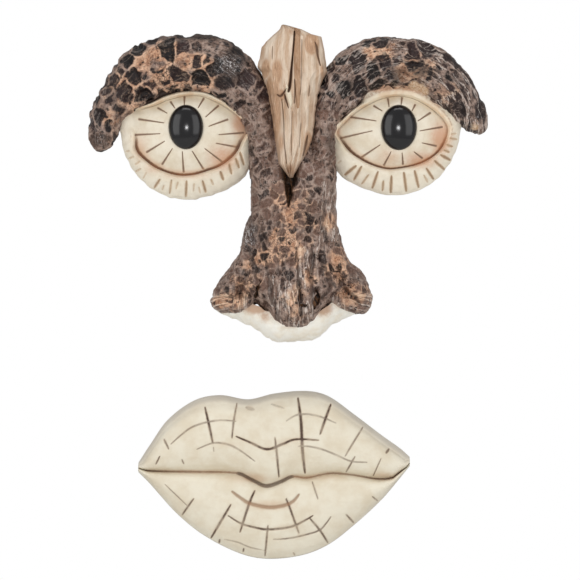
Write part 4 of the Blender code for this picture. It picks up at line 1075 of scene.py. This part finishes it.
mouth = {
    "halfWidth": 68,
    "depth": 22,
    "middle": (-7.5, -172.5),
    "top": [    # share of the half width, height from the middle
        (-1, 1), (-0.92, 9.4), (-0.79, 22), (-0.59, 32), (-0.4, 34.7), (-0.19, 32.6), (0, 35.5), (0.24, 36.8),
        (0.4, 34.2), (0.6, 24.6), (0.8, 14.3), (0.93, 8), (1, 3.8),
    ],
    "bottom": [
        (-1, -4), (-0.92, -9.4), (-0.72, -24.4), (-0.52, -35.4), (-0.26, -44.4), (-0.06, -47.3), (0.2, -45.6),
        (0.4, -40.2), (0.6, -29.8), (0.8, -17.2), (0.93, -6.8), (1, -1),
    ],
    "parting": [
        (-1, -1.6), (-0.92, -3), (-0.6, -3.4), (-0.26, -4.2), (-0.16, -7.4), (-0.06, -10.4), (0.04, -8.6),
        (0.13, -5.8), (0.24, -6.4), (0.41, -4.2), (0.58, -5), (0.76, -7), (0.875, -6.4), (0.95, -3.2), (1, 1),
    ],
    "partingKeep": 0.22,    # the parting stays this share of the height above the bottom
    "section": [    # share of the way from the parting to the shoulder, share of the depth
        (0, 0.66), (0.04, 0.78), (0.13, 0.91), (0.28, 0.98), (0.5, 1), (0.72, 0.945), (0.9, 0.84), (1, 0.69),
    ],
    "wallEnd": 0.1,    # where the wall turns into the back, as a share of the depth
    "cornerDepth": 0.6,
    "upperDraft": 3.6,
    "lowerDraft": 0.8,
    "strokes": [    # places from the middle of the mouth, half width, tone
        ([(-34.5, 29), (-32.4, 20), (-30.5, 11)], 0.6, 1),
        ([(-30.2, 9.2), (-30, 6.6)], 0.35, 0.5),
        ([(-18.5, 31), (-20, 22.5), (-21, 13.5)], 0.5, 0.8),
        ([(-51.5, 10.5), (-46.5, 15), (-41, 19), (-33.5, 21.5), (-26.5, 22.5), (-19, 22)], 0.5, 0.55),
        ([(-38.5, 8), (-31, 11), (-25.5, 11), (-20.5, 9.5), (-15.5, 6.5), (-9.5, 2)], 0.5, 0.55),
        ([(-55, 13), (-52.5, 8)], 0.5, 0.8),
        ([(-57, 4.5), (-59, 0.5)], 0.45, 0.7),
        ([(-46, 3), (-45, 0.5)], 0.4, 0.6),
        ([(-19, 14.5), (-12, 11.5), (-3.5, 8), (4, 10.5), (11, 13), (22.5, 12.5)], 0.6, 1),
        ([(0.5, 14), (1.6, 4), (2.5, -6)], 0.55, 0.9),
        ([(12, 33.5), (13.5, 22), (14.2, 8), (15.5, -4)], 0.75, 1),
        ([(28.5, 30.5), (26, 24), (23, 15.5)], 0.65, 1),
        ([(6, 22), (11, 25), (17, 25.5), (24, 24), (31, 21)], 0.5, 0.5),
        ([(12, 9.5), (17, 9.5), (24, 8), (31.5, 5), (38.5, 2), (46.5, 1.5)], 0.5, 0.5),
        ([(44.5, 19), (40, 12), (35.5, 4.5)], 0.5, 0.65),
        ([(40.5, 4.5), (36, -3.5)], 0.45, 0.7),
        ([(57.5, 8), (56, 6)], 0.6, 1),
        ([(53.5, 3.5), (49.5, -5.5)], 0.35, 0.7),
        ([(-9.5, -12.5), (-12.5, -19.5), (-17, -33.5)], 0.6, 1),
        ([(-21.5, -19.5), (-31.5, -36.5)], 0.6, 0.9),
        ([(-23, -25), (-16.5, -29), (-9.5, -31), (-2.5, -32), (8, -30.8), (14.5, -28),
          (19.5, -25)], 0.55, 0.9),
        ([(6, -16.5), (8, -21.5), (12.5, -34)], 0.55, 0.9),
        ([(17.5, -26), (23, -32.5), (27, -39)], 0.55, 0.85),
        ([(-0.5, -37), (7, -36.5), (14.5, -35), (22.5, -32.5), (26, -29), (28.5, -25.5)], 0.45, 0.7),
        ([(-3, -30), (-4.5, -45.5)], 0.5, 0.85),
        ([(-25, -37), (-18, -38.5), (-12, -41), (-5, -42.5)], 0.4, 0.45),
        ([(-40, -16.5), (-46, -25)], 0.5, 0.8),
        ([(-54.5, -9.5), (-43.5, -20)], 0.35, 0.6),
        ([(-27, -37), (-27.5, -39)], 0.5, 0.8),
        ([(-15, -41.5), (-15.5, -43.5)], 0.45, 0.8),
        ([(49, -15.5), (52, -18)], 0.4, 0.6),
        ([(36, -24.5), (40, -29)], 0.5, 0.8),
        ([(19, -8), (22, -17)], 0.45, 0.7),
        ([(9.5, -43.5), (10.5, -45)], 0.4, 0.7),
        ([(-14, 28.8), (-10, 27.8)], 0.9, 0.45),
        ([(-1.5, 30.5), (5, 28.5)], 0.5, 0.35),
    ],
    "arc": [    # one carved line in a lighter brown
        ([(-21, -13), (-17, -16), (-12, -19), (-2.5, -21), (5, -20), (9.5, -18), (12.5, -14.5)], 0.95, 1)],
    "bow": [([(-17.7, -4.2), (-10.9, -7.4), (-4.1, -10.4), (2.7, -8.6), (8.8, -5.8)], 1.6, 1)],
    "strokeDepth": 0.75,
    "nailHole": (0, 12, 4, 10),    # in the back: across, up, radius, depth
    "nailRows": (0.22, 0.35),    # the stretch of the back that has closer rows for it
    "wash": [    # tan
        (-12, -6.5, 12, 3, 0.8), (-3, -20, 14, 3, 0.8), (20, -6, 26, 2.4, 0.5), (-40, -3.5, 22, 1.8, 0.6),
        (8, 12, 14, 2.5, 0.35), (-20, 10, 12, 3, 0.3), (6, -31, 14, 3, 0.3), (54, -5, 8, 2.6, 0.6),
    ],
    "colours": {
        "cream": ((226, 218, 199), (216, 204, 181)), "parting": ((158, 118, 88), (98, 74, 58)),
        "brushed": (208, 190, 160), "rim": (196, 188, 176), "wash": (192, 152, 116),
        "strokeEdge": (176, 146, 116), "stroke": (78, 56, 42), "arc": (150, 114, 84),
    },
}


def makeMouth(material):
    # columns from corner to corner: each goes over both lips, down the upper wall, the back and the lower wall
    share = np.sin(np.pi * np.linspace(-0.5, 0.5, 400))[:, None]
    low, high, parting = (heightAt(mouth[name], share) for name in ("bottom", "top", "parting"))
    parting = np.maximum(parting, low + mouth["partingKeep"] * (high - low))
    lower = low + np.minimum(mouth["lowerDraft"], (parting - low) / 2)
    upper = high - np.minimum(mouth["upperDraft"], (high - parting) / 2)
    pinch = mixed(mouth["cornerDepth"], 1, np.maximum(0, 1 - np.abs(share) ** 3) ** 0.5)
    row = np.linspace(0, 1, 84)[None, :] ** 1.25
    wall = np.linspace(0, 1, 14)[None, 1:]
    start, end = mouth["nailRows"]
    stretches = (np.linspace(0, start, 5)[1:], np.linspace(start, end, 28)[1:], np.linspace(end, 1, 8)[1:-1])
    back = np.concatenate(stretches)[None, :]
    bend = np.sin(wall * np.pi / 2)
    up = np.concatenate([
        mixed(parting, lower, row)[:, ::-1], mixed(parting, upper, row)[:, 1:], mixed(upper, high, bend), high,
        mixed(high, low, back), low, mixed(lower, low, bend)[:, ::-1]], 1)
    lip = heightAt(mouth["section"], row) * pinch
    side = mixed(mouth["section"][-1][1] * pinch, mouth["wallEnd"], wall ** 1.5)
    flat = 0 * low + np.zeros((1, back.shape[1] + 2))
    forward = np.concatenate([lip[:, ::-1], lip[:, 1:], side, flat, side[:, ::-1]], 1) * mouth["depth"]
    across = share * mouth["halfWidth"] + 0 * up
    forward = np.where(forward < 0.01, blindHole(across, up, mouth["nailHole"]), forward)
    # how far round each row is: -1 to 0 on the lower lip, 0 to 1 on the upper one, 1.5 down its wall, then 1.6
    rest = np.full((1, up.shape[1] - 2 * row.shape[1] + 1 - wall.shape[1]), 1.6)
    section = np.concatenate([-row[:, ::-1], row[:, 1:], 1 + wall * 0.5, rest], 1) + 0 * up
    front = np.abs(section) <= 1.45
    stroke, tone = strokeField(across, up, mouth["strokes"])
    arc, bow = (strokeField(across, up, mouth[name])[0] * front for name in ("arc", "bow"))
    stroke = stroke * front
    places = np.stack([across, up, forward], -1)
    wander = 0.3 * softNoise(places, 9.0, 91) + 0.1 * softNoise(places, 2.2, 92)
    carved = eased(0.25, 1.0, np.maximum(stroke * np.minimum(tone, 1), arc))
    forward = forward - mouth["strokeDepth"] * carved + wander * (forward > 3) * front
    x, z = mouth["middle"]
    skin = closedMesh("mouthSkin", np.stack([across + x, up + z, np.maximum(forward, 0)], -1))
    gap = np.where(front, np.abs(up - parting), 6) - 0.9 * bow + 0.7 * eased(0.93, 0.985, np.abs(share))
    finishPiece(
        "mouthSkin", skin, placesOf(skin), material, "cream_paint", "mouth", stroke=stroke, tone=tone, arc=arc,
        bow=bow, rim=eased(0.86, 1.2, section), partingGap=np.clip(gap, 0, 6),
        wash=np.clip(blot(across, up, mouth["wash"]), 0, 1) * front,
    )


def makeMouthPaint():
    material, wire, shader, colour = newMaterial("mouthPaint", mouth)
    stroke, tone, arc, bow = wire.values("stroke", "tone", "arc", "bow")
    partingGap, wash, rim = wire.values("partingGap", "wash", "rim")
    fine, coarse = wire.mottle(700), wire.mottle(90)
    brushed = wire.mottle(260, 5.0, 0.6, (0.35, 1, 1))
    uneven = wire.mottle(170, 3.0).ramp(0.34, 0.6)
    stroke = stroke + (fine - 0.5) * 0.35
    parting = (partingGap + (fine - 0.5) * 0.8).fall(0.1, 0.68)
    plug(shader, "Base Color", layered(
        coarse.ramp(0.35, 0.7).blend(*colour.cream),
        (brushed.ramp(0.55, 0.75) * 0.25, colour.brushed),
        # painted shade: greyer from the upper lip's shoulder round the walls
        (rim * (coarse * 0.4 + 0.45), colour.rim),
        ((wash * (brushed + 0.5)).ramp(0.1, 0.95) * 0.5, colour.wash),
        (parting * (coarse * 0.4 + 0.5), bow.blend(*colour.parting)),
        (stroke.ramp(0.05, 0.5) * tone * 0.45, colour.strokeEdge),
        (stroke.ramp(0.38, 0.72) * tone * (uneven * 0.5 + 0.5), colour.stroke),
        ((arc + (fine - 0.5) * 0.3).ramp(0.2, 0.8) * 0.75, colour.arc),
    ))
    shader.inputs["Roughness"].default_value = 0.55
    plugBump(shader, fine * 0.5 + brushed, 0.0003, 0.5)
    return material


makeMouth(makeMouthPaint())
makeWood(makeWoodPaint())
makeFoot(makeFootPaint())
eyePaint = makeEyePaint()
makeEye(leftEye, eyePaint)
makeEye(rightEye, eyePaint)
makeBark(makeBarkPaint())


# floor, light and camera, in metres

studio = {
    "floorHeight": -0.30,
    "floorRadius": 0.6,
    "colours": {"floor": ((238, 238, 236), (242, 242, 240))},
    "frameWidth": 0.290,
    "frameMiddle": (0.0005, -0.015, -0.085),
    "cameraDistance": 3.0,
    "sensorWidth": 36,
    "worldLight": 0.48,    # the white world's strength, apart from what the camera sees of it
    "lampTarget": (0, -0.02, -0.07),
    "lamps": {    # place, width, height, watts
        "leftSoftbox": ((-1.5, -1.4, 0.3), 1.4, 2.0, 14),
        "rightSoftbox": ((1.5, -1.4, 0.3), 1.4, 2.0, 12),
        "topSoftbox": ((0.0, -0.5, 1.3), 0.9, 0.5, 4),
        "lowSoftbox": ((0.0, -1.5, -1.2), 1.4, 0.6, 9.6),
        "frontSpark": ((0.02, -1.6, 0.0), 0.24, 0.16, 3.4),
    },
}


def makeFloor():
    mesh = bpy.data.meshes.new("studioFloor")
    turn = np.linspace(0, 2 * np.pi, 96, endpoint=False)
    rim = np.stack([np.cos(turn), np.sin(turn), 0 * turn], -1) * studio["floorRadius"]
    mesh.from_pydata(rim + (0, 0, studio["floorHeight"]), [], [list(range(len(turn)))])
    material, wire, shader, colour = newMaterial("studioFloorPaint", studio)
    plug(shader, "Base Color", wire.mottle(20).ramp(0.3, 0.7).blend(*colour.floor))
    shader.inputs["Roughness"].default_value = 0.8
    mesh.materials.append(material)
    floor = addObject("studioFloor", mesh)


def aim(thing, place, target):
    thing.location = place
    sight = np.array(target) - np.array(place)
    thing.rotation_euler = Vector(sight).to_track_quat("-Z", "Y").to_euler()


def makeLamps():
    for name, (place, width, height, power) in studio["lamps"].items():
        light = bpy.data.lights.new(name, "AREA")
        light.shape = "RECTANGLE"
        light.size = width
        light.size_y = height
        light.energy = power
        aim(addObject(name, light), place, studio["lampTarget"])


def makeWorld():    # white to the camera and dimmer as a light
    world = bpy.data.worlds.new("paleRoom")
    bpy.context.scene.world = world
    world.use_nodes = True
    tree = world.node_tree
    background = tree.nodes["Background"]
    background.inputs["Color"].default_value = (1, 1, 1, 1)
    seen = tree.nodes.new("ShaderNodeLightPath").outputs["Is Camera Ray"]
    strength = tree.nodes.new("ShaderNodeMapRange")
    strength.inputs["To Min"].default_value = studio["worldLight"]
    tree.links.new(seen, strength.inputs["Value"])
    tree.links.new(strength.outputs["Result"], background.inputs["Strength"])


def makeCamera():
    camera = bpy.data.cameras.new("photoCamera")
    camera.sensor_width = studio["sensorWidth"]
    camera.lens = studio["sensorWidth"] * studio["cameraDistance"] / studio["frameWidth"]
    camera.clip_end = 20
    eyePoint = addObject("photoCamera", camera)
    x, y, z = studio["frameMiddle"]
    aim(eyePoint, (x, y - studio["cameraDistance"], z), (x, y, z))
    bpy.context.scene.camera = eyePoint


makeFloor()
makeWorld()
makeLamps()
makeCamera()
bpy.context.scene.view_settings.view_transform = "Standard"
print("studio ready")
